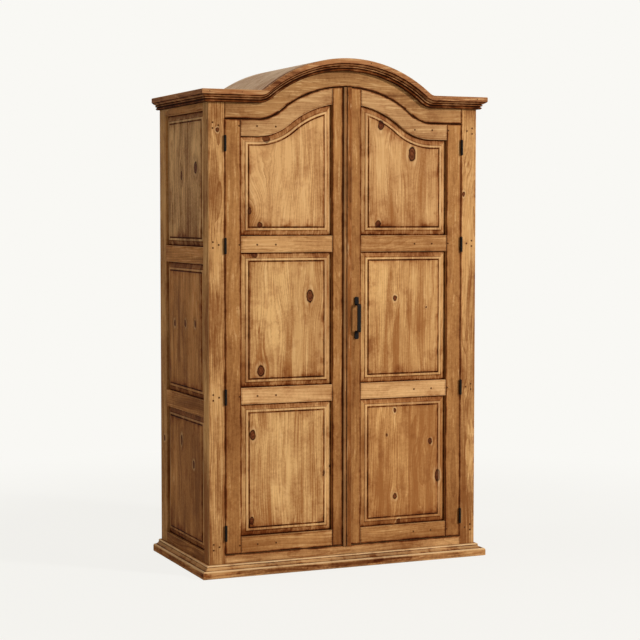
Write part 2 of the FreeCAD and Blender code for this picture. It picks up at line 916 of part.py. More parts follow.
def save_door(side, name):
    save(name + "_hinge_stile", hinge_stile(side))
    save(name + "_meeting_stile", meeting_stile(side))
    for index, place in enumerate(("bottom", "lower", "upper")):
        save(name + "_" + place + "_rail", door_rail(side, index))
    save(name + "_head_rail", door_head_rail(side))
    for place, panel in door_panels(side).items():
        save(name + "_" + place, panel)
    save(name + "_strike_plate", strike_plate(side))


os.makedirs("parts", exist_ok=True)
save_case()
save_mouldings()
save_hinges()
save_door(-1, "left_door")
save_door(1, "right_door")
save("meeting_strip", meeting_strip())
save("pull_handle", pull_handle())
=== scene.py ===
import math
import random

import bmesh
import bpy
from mathutils import Matrix, Vector


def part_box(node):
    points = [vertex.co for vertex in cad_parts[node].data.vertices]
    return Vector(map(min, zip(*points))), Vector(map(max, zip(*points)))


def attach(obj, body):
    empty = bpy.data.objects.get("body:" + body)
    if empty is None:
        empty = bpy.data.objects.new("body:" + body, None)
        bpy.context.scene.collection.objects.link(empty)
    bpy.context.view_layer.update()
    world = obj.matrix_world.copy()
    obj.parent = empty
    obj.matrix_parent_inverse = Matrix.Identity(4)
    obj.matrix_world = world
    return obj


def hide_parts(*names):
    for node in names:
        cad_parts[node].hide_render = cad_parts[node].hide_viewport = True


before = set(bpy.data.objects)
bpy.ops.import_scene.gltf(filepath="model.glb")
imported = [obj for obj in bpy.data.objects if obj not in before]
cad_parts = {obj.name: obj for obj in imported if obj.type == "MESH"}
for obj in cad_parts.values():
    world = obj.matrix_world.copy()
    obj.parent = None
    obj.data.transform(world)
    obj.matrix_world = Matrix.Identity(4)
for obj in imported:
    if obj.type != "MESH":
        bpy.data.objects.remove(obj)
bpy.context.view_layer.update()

# Corner posts. Four square pine posts, front and back, stained honey brown and waxed, with
# every arris rubbed round. They stand on the floor and carry the rails in their mortises.
post_low, post_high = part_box("front_right_post")
half_opening, half_width = post_low.x, post_high.x
front_y = post_low.y
frame_top = post_high.z
stile_low, stile_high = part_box("left_door_hinge_stile")
door_bottom, door_top = stile_low.z, stile_high.z
door_gap = 0.003
back_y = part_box("back_right_post")[1].y
axis_order = "xyz"
merge_gap = 0.00002
flat_turn = math.radians(0.4)
flat_normal = 0.9999
arris_turn = math.radians(35)
sharp_turn = math.radians(38)
post_arris = 0.0022
ring_spacing = 0.0075
log_slope = 0.012
post_early = (208, 158, 100)
post_late = (138, 86, 44)
pale_pine = (236, 196, 140)
dark_wax_and_shade = (44, 17, 5)
stain_and_shade_brown = (176, 122, 74)
wear_and_highlight_pine = (252, 218, 168)
knot_deep = (74, 34, 14)
knot_red = (138, 78, 42)
knot_rag = 0.010
knot_push = 0.8
knot_spread = 0.13
joint_over = 0.043
joint_deep = 0.017
joint_down = 0.61
wood_specular = 0.04
wood_bump = 0.0006
# Painted shadow for the gaps round the doors: the arrises and rims beside them go near black.
reveal_shadow = 0.95
reveal_reach = 0.004
hinge_arris = 0.0004
rim_reach = 0.006
rim_wax_and_shade = 0.28
gap_rim_shadow = 0.55
painted_falloff = 0.14


def tint(colour):
    """A colour as it is seen, from 0 to 255, in the shader's own linear light."""
    shares = [value / 255 for value in colour]
    bends = [s / 12.92 if s <= 0.04045 else ((s + 0.055) / 1.055) ** 2.4 for s in shares]
    return (*bends, 1)


class Shade:
    """A socket in a finish. Sums on it add Math nodes, and node() adds any other node."""

    def __init__(self, tree, socket=None):
        self.tree = tree
        self.socket = socket

    def node(self, kind, settings=None, inputs=None, output=0):
        made = self.tree.nodes.new("ShaderNode" + kind)
        for name, value in (settings or {}).items():
            setattr(made, name, value)
        for key, value in (inputs or {}).items():
            if isinstance(value, Shade):
                self.tree.links.new(value.socket, made.inputs[key])
            else:
                made.inputs[key].default_value = value
        return Shade(self.tree, made.outputs[output])

    def __abs__(self):
        return self.maths("ABSOLUTE", self)

    def maths(self, operation, *values):
        return self.node("Math", {"operation": operation}, dict(enumerate(values)))

    def vector(self, operation, *values, output=0):
        return self.node("VectorMath", {"operation": operation}, dict(enumerate(values)), output)

    def split(self):
        made = self.node("SeparateXYZ", None, {0: self})
        return [Shade(self.tree, out) for out in made.socket.node.outputs]

    def step(self, low, high):
        """0 below low and 1 above high, or the reverse, with a smooth change between."""
        settings = {"interpolation_type": "SMOOTHSTEP"}
        return self.node("MapRange", settings, {0: self, 1: low, 2: high})

    def blend(self, first, second, kind="MIX"):
        settings = {"data_type": "RGBA", "blend_type": kind}
        return self.node("Mix", settings, {0: self, 6: first, 7: second}, 2)

    def noise(self, scale, detail=2.0, roughness=0.5):
        values = {"Vector": self, "Scale": scale, "Detail": detail, "Roughness": roughness}
        return self.node("TexNoise", None, values)

    def bump(self, strength, distance):
        values = {"Strength": strength, "Distance": distance, "Height": self}
        return self.node("Bump", None, values)

    def __add__(self, other):
        return self.maths("ADD", self, other)

    def __sub__(self, other):
        return self.maths("SUBTRACT", self, other)

    def __rsub__(self, other):
        return self.maths("SUBTRACT", other, self)

    def __mul__(self, other):
        return self.maths("MULTIPLY", self, other)

    def __truediv__(self, other):
        return self.maths("DIVIDE", self, other)

    def __pow__(self, other):
        return self.maths("POWER", self, other)

    __radd__ = __add__


def new_finish(name):
    """A material, the place on the object that it colours, and its shader."""
    material = bpy.data.materials.new(name)
    material.use_nodes = True
    tree = material.node_tree
    place = Shade(tree).node("TexCoord", output="Object")
    return material, place, tree.nodes["Principled BSDF"]


def wire(shader, values):
    for key, value in values.items():
        socket = shader.inputs[key]
        if isinstance(value, Shade):
            value.tree.links.new(value.socket, socket)
        else:
            socket.default_value = value


def axes_of(grain):
    """The numbers of the axes along the grain, out of the face and across the board."""
    along, face = (axis_order.index(axis) for axis in grain)
    return along, face, 3 - along - face


def knot_shape(place, knot, across, along):
    """Distance from a knot in its own radii, and how far it pushes the grain aside."""
    centre = [0.0, 0.0, 0.0]
    shrink = [0.0, 0.0, 0.0]
    centre[across], centre[along] = knot[0], knot[1]
    shrink[across], shrink[along] = 1 / knot[2], 1 / knot[3]
    from_centre = place.vector("SUBTRACT", place, centre)
    scaled = from_centre.vector("MULTIPLY", from_centre, shrink)
    distance = scaled.vector("LENGTH", scaled, output="Value")
    spread = distance * distance * -knot_spread
    return distance, spread.maths("EXPONENT", spread) * from_centre.split()[across]


def drawn_noise(over, deep, down, fine, long, *look):
    """Noise drawn out along the grain: fine across it and long down it."""
    parts = {0: over * fine, 1: deep * fine, 2: down * long}
    return down.node("CombineXYZ", None, parts).noise(1.0, *look)


def pine(name, grain, early, late, knots=(), swirls=(), joint=None, depth=1.0, mottled=1.0,
         ledge_stain_and_shade=0.0, varied=0.0, waxed_and_shaded=True):
    """Pine sawn from a log whose heart lies where the board's own mesh says it does."""
    material, place, shader = new_finish(name)
    along, face, across = axes_of(grain)
    heart = place.node("Attribute", {"attribute_name": "heart"}, output="Vector")
    from_heart = place.vector("SUBTRACT", place, heart)
    ragged = place.node("TexNoise", None, {"Vector": place, "Scale": 60.0, "Detail": 3.0}, 1)
    knot_place = ragged.vector("SUBTRACT", ragged, (0.5,) * 3)
    knot_place = place.vector("MULTIPLY_ADD", knot_place, (knot_rag,) * 3, place)
    distances = []
    push = None
    for knot in (*knots, *swirls):
        distance, aside = knot_shape(knot_place, knot, across, along)
        distances.append(distance)
        push = aside if push is None else push + aside
    distances = distances[:len(knots)]
    down, over, deep = [from_heart.split()[axis] for axis in (along, across, face)]
    if push is not None:
        over = over - push * knot_push
    if joint is not None:
        # The second board of a glued-up panel comes from another part of the log.
        beyond = place.split()[across]
        beyond = beyond.maths("GREATER_THAN", beyond, joint)
        over = over + beyond * joint_over
        deep = deep + beyond * joint_deep
        down = down + beyond * joint_down
    # The log isn't straight: its rings wander across the board and lean along it.
    parts = {0: over * 9, 1: deep * 9, 2: down * 1.6 + heart.split()[0] * 31}
    bent = down.node("CombineXYZ", None, parts)
    wander = bent.noise(1.0, 1.0)
    sway = bent.noise(2.7, 0.0)
    ring_over = over + (wander - 0.5) * 0.06
    ring_deep = deep + down * log_slope + (sway - 0.5) * 0.035
    radius = (ring_over * ring_over + ring_deep * ring_deep) ** 0.5
    phase = radius / ring_spacing + (wander + sway) * 1.8
    ring = phase.maths("FRACT", phase) ** 2.5
    streak = drawn_noise(ring_over, ring_deep, down, 38, 1.8, 3.0, 0.55)
    fleck = drawn_noise(ring_over, ring_deep, down, 150, 7, 2.0, 0.6)
    fibre = drawn_noise(over, deep, down, 620, 9, 2.0, 0.6)
    cloud = drawn_noise(over, deep, down, 7, 3.2, 2.5, 0.55)
    mottle = place.noise(95.0, 5.0, 0.72)
    tone = (streak - 0.5) * 1.3 + (cloud - 0.5) * 1.7 + (fleck - 0.5) * 0.5
    tone = tone + (ring - 0.28) * (0.1 + streak * 0.4) + (fibre - 0.5) * 0.25
    tone = tone * depth + (mottle - 0.5) * 0.8 * mottled
    if varied:
        own = heart.node("TexWhiteNoise", None, {"Vector": heart})
        tone = tone + (own - 0.5) * varied
    # Painted shade: waxed wood is darker low down and paler high up, for light falling off lower
    # down.
    if waxed_and_shaded:
        tone = tone + (1 - place.split()[2]) * painted_falloff
    colour = tone.step(-0.5, 0.6).blend(tint(early), tint(late))
    if joint is not None:
        colour = (beyond * 0.3).blend(colour, tint(late))
    pale = tone.step(-0.05, -0.32) * fleck.step(0.5, 0.3)
    colour = (pale * 0.4).blend(colour, tint(pale_pine))
    if distances:
        # A knot: darker wood round it, a pale ring, a dark rim and a red, ringed heart.
        near = distances[0]
        for distance in distances[1:]:
            near = near.maths("MINIMUM", near, distance)
        colour = (near.step(3.2, 1.5) * 0.4).blend(colour, tint(late))
        bright = near.step(2.2, 1.3) * near.step(1.0, 1.3) * fleck.step(0.62, 0.4)
        colour = (bright * 0.45).blend(colour, tint(pale_pine))
        knot_dark = near.step(1.16, 0.94)
        ringed = near.maths("SINE", near * 11)
        red_share = ringed * 0.25 + mottle.step(0.3, 0.7) * 0.6 + 0.1
        core = red_share.blend(tint(knot_deep), tint(knot_red))
        core = (near.step(0.62, 0.9) * 0.95).blend(core, tint(dark_wax_and_shade))
        colour = knot_dark.blend(colour, core)
    rough = 0.52 + streak * 0.14
    if waxed_and_shaded:
        # Arrises are rubbed pale and carry a painted highlight, end grain is dark, and old wax,
        # painted shade and painted highlight lie where the mesh says.
        lean = place.node("TexCoord", output="Normal").split()
        outward = abs(lean[face])
        arris = outward.step(0.2, 0.5) * outward.step(0.985, 0.9)
        end = abs(lean[along]).step(0.42, 0.6) * arris
        pale_edges = arris * (0.15 + streak * 0.8) * (1 - end)
        cut_ends = abs(lean[along]).step(0.08, 0.26) * fleck.step(0.25, 0.7)
        colour = (cut_ends * 0.6).blend(colour, tint(late))
        # Wear and a painted highlight: the rounded arrises turn pale.
        colour = (pale_edges * 0.6).blend(colour, tint(pale_pine))
        colour = (end * 0.55).blend(colour, tint(dark_wax_and_shade))
        wax_and_painted_light = place.node("Attribute", {"attribute_name": "wax_and_painted_light"}, output="Fac")
        # Wear and a painted highlight: where the mesh holds less than none, on bead crests and
        # round tops, the wood turns pale.
        wear_and_highlight_mask = wax_and_painted_light.step(0.0, -1.0) * (fleck.step(0.3, 0.62) * 0.5 + 0.5) * (0.5 + streak * 0.6)
        colour = (wear_and_highlight_mask * 0.8).blend(colour, tint(wear_and_highlight_pine))
        wax_and_painted_light = wax_and_painted_light.maths("MAXIMUM", wax_and_painted_light, 0.0)
        patch = place.noise(17.0, 3.0, 0.65)
        wax_and_painted_light = wax_and_painted_light + patch.step(0.5, 0.68) * mottled * 0.16
        # Stain and painted shade: faces that tilt up, and less those that tilt down, such as the
        # panel slopes under the rails, darken.
        if ledge_stain_and_shade:
            ledge_darkening = lean[2].step(0.06, 0.24) + lean[2].step(-0.06, -0.24) * 0.35
            ledge_darkening = ledge_darkening * (patch.step(0.25, 0.6) * 0.5 + 0.5) * ledge_stain_and_shade
            colour = ledge_darkening.blend(colour, tint(stain_and_shade_brown), "MULTIPLY")
        # Old wax and painted shade: where the mesh holds it, in grooves, recesses, gaps and under
        # mouldings, the wood darkens.
        held = wax_and_painted_light * (patch.step(0.25, 0.6) * 0.7 + 0.4 + (fleck - 0.5) * 0.8)
        colour = held.step(-0.05, 0.6).blend(colour, tint(stain_and_shade_brown), "MULTIPLY")
        colour = (held.step(0.2, 1.0) * 0.96).blend(colour, tint(dark_wax_and_shade))
        rough = rough + wax_and_painted_light * 0.12
    height = fibre * 0.5 + ring * 0.5 + streak * 0.6
    if distances:
        height = height - knot_dark * 0.8
    wire(shader, {"Base Color": colour, "Roughness": rough, "Specular IOR Level": wood_specular,
                  "Normal": height.bump(0.5, wood_bump)})
    return material


def islands(bm):
    """The separate solids of a mesh, each as a list of its corners."""
    waiting = set(bm.verts)
    found = []
    while waiting:
        group = [waiting.pop()]
        for vert in group:
            for edge in vert.link_edges:
                other = edge.other_vert(vert)
                if other in waiting:
                    waiting.remove(other)
                    group.append(other)
        found.append(group)
    return found


def span_of(corners):
    """The low and the high corner of the box round some corners."""
    return (Vector([min(v.co[i] for v in corners) for i in range(3)]),
            Vector([max(v.co[i] for v in corners) for i in range(3)]))


def lay_grain(bm, name, grain):
    """Marks each board with where the heart of its log lies."""
    layer = bm.verts.layers.float_vector.new("heart")
    along, face, across = axes_of(grain)
    boards = [(*span_of(group), group) for group in islands(bm)]
    boards.sort(key=lambda board: (board[0][across], *board[0], *board[1]))
    for index, (low, high, group) in enumerate(boards):
        dice = random.Random(name + str(index))
        heart = (low + high) / 2
        heart[across] += dice.uniform(-0.9, 0.9) * (high - low)[across]
        heart[face] += dice.choice((-1, 1)) * dice.uniform(0.025, 0.075)
        heart[along] += dice.uniform(-3.0, 3.0)
        for vert in group:
            vert[layer] = heart


def add_piece(bm, name, body, finish, nodes=()):
    """Closes a piece: shading, body, slot, and the nodes of the frame that it stands for."""
    bm.normal_update()
    for edge in bm.edges:
        if edge.is_manifold and edge.calc_face_angle() > sharp_turn:
            edge.smooth = False
    mesh = bpy.data.meshes.new(name)
    bm.to_mesh(mesh)
    bm.free()
    mesh.shade_smooth()
    piece = bpy.data.objects.new(name, mesh)
    bpy.context.scene.collection.objects.link(piece)
    mesh.materials.append(finish)
    even = piece.modifiers.new("even_shading", "WEIGHTED_NORMAL")
    even.keep_sharp = True
    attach(piece, body)
    if nodes:
        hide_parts(*nodes)


def add_wood(bm, node, grain, body, finish):
    """Closes the wooden piece that stands for a node."""
    lay_grain(bm, node, grain)
    add_piece(bm, node + "_wood", body, finish, [node])


def everything(bm):
    return bm.verts[:] + bm.edges[:] + bm.faces[:]


def cut_at(bm, place, way, **clear):
    """Adds corners where a plane crosses the mesh, and clears one side of it if asked."""
    bmesh.ops.bisect_plane(bm, geom=everything(bm), dist=merge_gap / 10, plane_co=place,
                           plane_no=way, **clear)


def copy_of(node):
    """A node's solids as a clean mesh: corners merged and flat faces whole."""
    bm = bmesh.new()
    bm.from_mesh(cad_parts[node].data)
    bmesh.ops.remove_doubles(bm, verts=bm.verts[:], dist=merge_gap)
    bmesh.ops.dissolve_limit(bm, angle_limit=flat_turn, verts=bm.verts[:], edges=bm.edges[:])
    return bm


def wax_layer(bm):
    return bm.loops.layers.float.get("wax_and_painted_light") or bm.loops.layers.float.new("wax_and_painted_light")


def round_arrises(bm, radius, shown, segments=3, at_gap=None):
    """Rounds the sharp outward edges for which shown(edge) holds; painted shadow where at_gap(vert)
    does.
    """
    wax_and_painted_light = wax_layer(bm)
    edges = [
        edge for edge in bm.edges
        if edge.is_manifold and edge.calc_face_angle_signed() > arris_turn and shown(edge)
    ]
    made = bmesh.ops.bevel(bm, geom=edges, offset=radius, offset_type="OFFSET", segments=segments,
                           profile=0.5, affect="EDGES", clamp_overlap=True, material=-1)
    for face in made["faces"]:
        held = reveal_shadow if at_gap and all(at_gap(vert) for vert in face.verts) else 0.0
        for loop in face.loops:
            loop[wax_and_painted_light] = held


def stain_rims(bm, plane, at_gap):
    """Lays old wax and painted shade on the rims of flat faces in a plane, gap shadow where
    at_gap(vert) holds.
    """
    wax_and_painted_light = wax_layer(bm)
    bm.normal_update()
    faces = [face for face in bm.faces if max(abs(part) for part in face.normal) > flat_normal
             and all(plane(edge) for edge in face.edges)]
    rims = bmesh.ops.inset_region(bm, faces=faces, thickness=rim_reach, use_boundary=True,
                                  use_even_offset=True)["faces"]
    inner = set(faces) | set(rims)
    for rim in rims:
        outside = [loop for loop in rim.loops
                   if any(face not in inner for face in loop.vert.link_faces)]
        for loop in outside:
            loop[wax_and_painted_light] = gap_rim_shadow if all(at_gap(other.vert) for other in outside) else rim_wax_and_shade


def in_planes(axis, places):
    """A test for edges that lie in one of the planes at these places along an axis."""
    index = axis_order.index(axis)

    def shown(edge):
        return any(all(abs(v.co[index] - place) < merge_gap * 2 for v in edge.verts)
                   for place in places)

    return shown


def outer_faces_only(bm):
    """A test for edges whose two faces both lie on the piece's own box."""
    low, high = span_of(bm.verts)

    def on_box(face):
        return any(all(abs(v.co[i] - limit) < merge_gap * 2 for v in face.verts)
                   for i in range(3) for limit in (low[i], high[i]))

    def shown(edge):
        return all(on_box(face) for face in edge.link_faces)

    return shown


def on_hinge_line(edge):
    """Whether an edge lies on a front arris beside a door's hinges."""
    return all(abs(abs(v.co.x) - half_opening) < reveal_reach and v.co.y < front_y + merge_gap
               for v in edge.verts)


post_finish = pine("honey_post", "zy", post_early, post_late, depth=1.45, knots=(
    (-0.536, 1.711, 0.006, 0.008), (0.518, 1.474, 0.006, 0.010)))
back_post_finish = pine("honey_back_post", "zx", post_early, post_late,
                        knots=((0.265, 0.474, 0.009, 0.012),))
for place, finish in (("front", post_finish), ("back", back_post_finish)):
    for side in ("left", "right"):
        node = f"{place}_{side}_post"
        bm = copy_of(node)
        outer = outer_faces_only(bm)
        round_arrises(bm, post_arris, lambda edge: outer(edge) and not on_hinge_line(edge))
        if place == "front":
            # Painted shadow on the small arrises along the hinge gap.
            round_arrises(bm, hinge_arris, on_hinge_line, 2, lambda vert: True)
        for height in (door_bottom - door_gap, door_top + door_gap):
            cut_at(bm, (0, 0, height), (0, 0, 1))
        # Old wax and painted shade on the rims of the front face, painted shadow beside the door
        # opening.
        stain_rims(bm, in_planes("y", (front_y,)), lambda vert: (
            abs(vert.co.x) < half_opening + hinge_arris * 4
            and door_bottom - reveal_reach < vert.co.z < door_top + reveal_reach))
        add_wood(bm, node, "zy" if place == "front" else "zx", "case", finish)

# Case rails. Straight pine rails between the posts: four on each side and one under the
# doors, tenoned into the posts, with the same rubbed arrises.
rail_arris = 0.0018
side_early = (200, 140, 82)
side_top_early = (228, 182, 126)
side_late = (124, 76, 38)
side_rail_finish = pine("honey_side_rail", "yx", side_early, side_late)
for side, sign in (("left", -1), ("right", 1)):
    planes = in_planes("x", (sign * half_width,))
    for place in ("bottom_rail", "middle_rails", "top_rail"):
        node = f"{side}_side_{place}"
        bm = copy_of(node)
        round_arrises(bm, rail_arris, planes)
        stain_rims(bm, planes, lambda vert: False)
        add_wood(bm, node, "yx", "case", side_rail_finish)

foot_rail_early = (224, 174, 116)
foot_rail_late = (150, 98, 54)
foot_rail_finish = pine("honey_foot_rail", "xy", foot_rail_early, foot_rail_late)
bm = copy_of("front_bottom_rail")
foot_rail_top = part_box("front_bottom_rail")[1].z
front_edges = in_planes("y", (front_y,))


def under_doors(vert):
    return vert.co.z > foot_rail_top - reveal_reach


# Painted shadow along the top arris and rim under the doors.
round_arrises(bm, rail_arris, front_edges, at_gap=under_doors)
stain_rims(bm, front_edges, under_doors)
add_wood(bm, "front_bottom_rail", "xy", "case", foot_rail_finish)

# Side panels. Raised pine panels held loose in the grooves of the side frames: a slope, a
# small bead and a cut vein run round each flat field, with dark wax and painted shade left in
# the low places, and wear and a painted highlight on the bead.
groove_reach = 0.009
seat_depth = 0.01315
panel_back = 0.01885
slope_width = 0.019
slope_top = 0.0086
quirk_width = 0.002
bead_width = 0.0036
ledge_depth = 0.0064
field_depth = 0.0045
vein_middle = 0.03365
vein_half = 0.00315
vein_depth = 0.0036
bead_steps = 5
vein_steps = 8
slope_wax_and_shade = 0.12
foot_shade = 0.24
foot_reach = 0.085
field_edge_width = 0.012
stain_width = 0.045
mitre_turn = math.radians(6)
side_ledge_stain_and_shade = 0.5


def moulding_rings():
    """Inset, depth and held wax, painted shade and highlight of each ring from the frame in to the
    field.
    """
    # Old wax and painted shade at the frame edge, fading up the slope.
    rings = [(slope_width * share, seat_depth - (seat_depth - slope_top) * share, held)
             for share, held in ((0.0, 1.0), (0.12, 0.75), (0.35, slope_wax_and_shade), (0.85, 0.05))]
    # The quirk holds old wax and painted shade.
    rings += [(slope_width, slope_top, 0.3), (slope_width + quirk_width, slope_top, 0.45)]
    # The bead rises to a pale crest: wear and a painted highlight.
    for index in range(1, bead_steps + 1):
        turn = math.pi / 2 * index / bead_steps
        rise = (slope_top - ledge_depth) * math.sin(turn)
        rings.append((slope_width + quirk_width + bead_width * (1 - math.cos(turn)),
                      slope_top - rise, 0.3 - 0.65 * math.sin(turn)))
    # Pale beside the vein, wear and a painted highlight; the vein holds old wax and painted shade.
    rings.append((vein_middle - vein_half - bead_width / 3, ledge_depth, -0.3))
    for index in range(vein_steps + 1):
        turn = math.pi * index / vein_steps
        foot = ledge_depth if index * 2 < vein_steps else field_depth
        rings.append((vein_middle - vein_half * math.cos(turn),
                      foot + (field_depth + vein_depth - foot) * math.sin(turn),
                      0.15 + 0.5 * math.sin(turn)))
    rings.append((vein_middle + vein_half + bead_width / 3, field_depth, 0.2))
    rings.append((vein_middle + vein_half + field_edge_width, field_depth, 0.1))
    rings.append((vein_middle + vein_half + stain_width, field_depth, 0.0))
    return rings


def mould_panel(bm, outline):
    """Works a panel behind the plane y = 0. outline(inset, y) draws its edge at an inset."""
    wax_and_painted_light = bm.verts.layers.float.new("wax_and_painted_light")
    rings = [(-groove_reach, panel_back, 0.0), (-groove_reach, seat_depth, 0.0)] + moulding_rings()
    loops = []
    for index, (inset, depth, held) in enumerate(rings):
        known = set(bm.edges)
        outline(inset, -index)
        loops.append([edge for edge in bm.edges if edge not in known])
        for edge in loops[-1]:
            for vert in edge.verts:
                vert[wax_and_painted_light] = held
    for first, second in zip(loops, loops[1:]):
        bmesh.ops.bridge_loops(bm, edges=first + second)
    for end in (loops[0], loops[-1]):
        bmesh.ops.edgeloop_fill(bm, edges=end)
    for vert in bm.verts:
        vert.co.y = rings[round(-vert.co.y)][1]
    bmesh.ops.recalc_face_normals(bm, faces=bm.faces[:])
    drawn = {edge for loop in loops for edge in loop}
    for edge in bm.edges:
        if edge not in drawn and edge.calc_face_angle() > mitre_turn:
            edge.smooth = False
    # Painted shade: each panel darkens towards its foot.
    low = min(vert.co.z for vert in bm.verts)
    cut_at(bm, (0, 0, low + foot_reach), (0, 0, 1))
    for vert in bm.verts:
        vert[wax_and_painted_light] += foot_shade * max(0.0, 1 - (vert.co.z - low) / foot_reach)


def rectangle(bm, x0, x1, z0, z1, y):
    corners = [bm.verts.new(co) for co in ((x0, y, z0), (x1, y, z0), (x1, y, z1), (x0, y, z1))]
    for first, second in zip(corners, corners[1:] + corners[:1]):
        bm.edges.new((first, second))


def flat_panel(x0, x1, z0, z1):
    """A raised panel for the opening from x0 to x1 and z0 to z1."""
    bm = bmesh.new()
    mould_panel(bm, lambda inset, y: rectangle(
        bm, x0 + inset, x1 - inset, z0 + inset, z1 - inset, y))
    return bm


side_panel_look = {
    ("left", "top"): {"knots": ((0.050, 1.545, 0.010, 0.018), (-0.120, 1.572, 0.017, 0.022)),
                      "swirls": ((0.050, 1.545, 0.020, 0.05), (-0.120, 1.58, 0.028, 0.06))},
    ("left", "middle"): {"knots": ((0.01, 0.960, 0.009, 0.014), (0.14, 0.955, 0.010, 0.013),
                                   (-0.11, 0.965, 0.009, 0.013)),
                         "swirls": ((0.01, 0.960, 0.016, 0.04), (-0.11, 0.965, 0.016, 0.04))},
    ("left", "bottom"): {"knots": ((0.059, 0.491, 0.010, 0.020), (-0.087, 0.410, 0.011, 0.014),
                                   (-0.067, 0.688, 0.009, 0.010)),
                         "swirls": ((0.059, 0.491, 0.018, 0.06),)},
    ("right", "top"): {"knots": ((0.04, 1.5, 0.010, 0.017),)},
    ("right", "middle"): {"knots": ((0.12, 0.8, 0.009, 0.016),)},
    ("right", "bottom"): {"knots": ((-0.12, 0.4, 0.010, 0.016), (0.1, 0.2, 0.008, 0.013))},
}
for (side, place), look in side_panel_look.items():
    sign = 1 if side == "right" else -1
    node = f"{side}_side_{place}_panel"
    low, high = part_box(node)
    span = (low.y, high.y) if sign > 0 else (-high.y, -low.y)
    bm = flat_panel(span[0] + groove_reach, span[1] - groove_reach,
                    low.z + groove_reach, high.z - groove_reach)
    turn = Matrix.Rotation(sign * math.pi / 2, 4, "Z")
    stand = Matrix.Translation((sign * half_width, 0, 0)) @ turn
    bmesh.ops.transform(bm, matrix=stand, verts=bm.verts[:])
    early = side_top_early if place == "top" else side_early
    finish = pine(f"honey_{side}_side_{place}", "zx", early, side_late, ledge_stain_and_shade=side_ledge_stain_and_shade, **look)
    add_wood(bm, node, "zx", "case", finish)

# Front head rail. A board sawn above and below to a crown between two hollows. It stands
# under the roof and is tenoned into the posts, and every other arched piece follows its line.
crown_radius = 0.440
hollow_radius = 0.150
arc_turn = math.radians(2.0)
meeting_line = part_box("left_door_meeting_stile")[1].x
head_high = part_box("front_head_rail")[1]
arch_rise = head_high.z - frame_top
rail_back = head_high.y
head_offset = frame_top - door_top
crown_z = door_top + arch_rise - crown_radius
hollow_z = door_top + hollow_radius
centre_gap = crown_radius + hollow_radius
hollow_x = math.sqrt(centre_gap ** 2 - (centre_gap - arch_rise) ** 2)
arch_angle = math.asin(hollow_x / centre_gap)
gap_reach = reveal_reach * 1.5
head_early = (178, 130, 80)
head_late = (116, 72, 38)


def crown_reach(offset):
    return (crown_radius + offset) * hollow_x / centre_gap


def arch_height(x, offset):
    if abs(x) >= hollow_x:
        return door_top + offset
    if abs(x) >= crown_reach(offset):
        across = abs(x) - hollow_x
        return hollow_z - math.sqrt((hollow_radius - offset) ** 2 - across ** 2)
    return crown_z + math.sqrt((crown_radius + offset) ** 2 - x ** 2)


def of_kind(kind, geometry):
    """The corners, edges or faces in what a mesh operation gave back."""
    return [item for item in geometry if isinstance(item, kind)]


def spun(bm, geometry, centre, angle, steps):
    """Spins corners or edges about a centre and gives back those at the far end."""
    made = bmesh.ops.spin(bm, geom=geometry, cent=centre, axis=(0, 1, 0), angle=angle, steps=steps)
    return of_kind(type(geometry[0]), made["geom_last"])


def draw_to(bm, vert, place):
    new = bm.verts.new(place)
    bm.edges.new((vert, new))
    return new


def run_arch(bm, vert, x_end, offset, steps=None):
    """Draws the arched line on from a corner to x_end: arcs are spun, flats drawn straight."""
    x_start, y = vert.co.x, vert.co.y
    reach = crown_reach(offset)
    span = sorted((x_start, x_end))
    bends = [bend for bend in (-hollow_x, -reach, reach, hollow_x) if span[0] < bend < span[1]]
    for stop in sorted(bends + [x_end], reverse=x_end < x_start):
        here = vert.co.x
        middle = (here + stop) / 2
        if abs(middle) > hollow_x:
            vert = draw_to(bm, vert, (stop, y, arch_height(stop, offset)))
            continue
        if abs(middle) > reach:
            centre = (math.copysign(hollow_x, middle), y, hollow_z)
            radius, way = hollow_radius - offset, -1
        else:
            centre = (0, y, crown_z)
            radius, way = crown_radius + offset, 1
        turned = [math.asin((x - centre[0]) / radius) for x in (here, stop)]
        angle = way * (turned[1] - turned[0])
        count = steps or max(1, math.ceil(abs(angle) / arc_turn))
        vert = spun(bm, [vert], centre, angle, count)[0]
    return vert


def arched_outline(bm, x0, x1, y, high_offset, low_offset=None, foot=None, steps=None):
    """A closed outline from a straight foot, or from an arched line, up to an arched line."""
    low = [foot if low_offset is None else arch_height(x, low_offset) for x in (x0, x1)]
    first = bm.verts.new((x0, y, low[0]))
    corner = draw_to(bm, first, (x0, y, arch_height(x0, high_offset)))
    corner = run_arch(bm, corner, x1, high_offset, steps)
    corner = draw_to(bm, corner, (x1, y, low[1]))
    if low_offset is not None:
        corner = run_arch(bm, corner, x0, low_offset)
        bmesh.ops.remove_doubles(bm, verts=bm.verts[:], dist=merge_gap)
    else:
        bm.edges.new((corner, first))


def arched_board(x0, x1, y0, y1, **line):
    """A board with that outline, from y0 back to y1."""
    bm = bmesh.new()
    arched_outline(bm, x0, x1, y0, **line)
    faces = bmesh.ops.edgeloop_fill(bm, edges=bm.edges[:])["faces"]
    grown = bmesh.ops.extrude_face_region(bm, geom=faces)["geom"]
    bmesh.ops.translate(bm, verts=of_kind(bmesh.types.BMVert, grown), vec=(0, y1 - y0, 0))
    bmesh.ops.recalc_face_normals(bm, faces=bm.faces[:])
    return bm


def near_reveal(vert):
    """Whether a corner lies on the line between the case and the doors, where gap shadow is
    painted.
    """
    return (abs(vert.co.z - arch_height(vert.co.x, 0)) < gap_reach
            or abs(abs(vert.co.x) - half_opening) < gap_reach
            or vert.co.z < door_bottom + gap_reach
            or abs(vert.co.x - meeting_line) < reveal_reach)


bm = arched_board(-half_opening, half_opening, front_y, rail_back,
                  high_offset=head_offset, low_offset=door_gap)
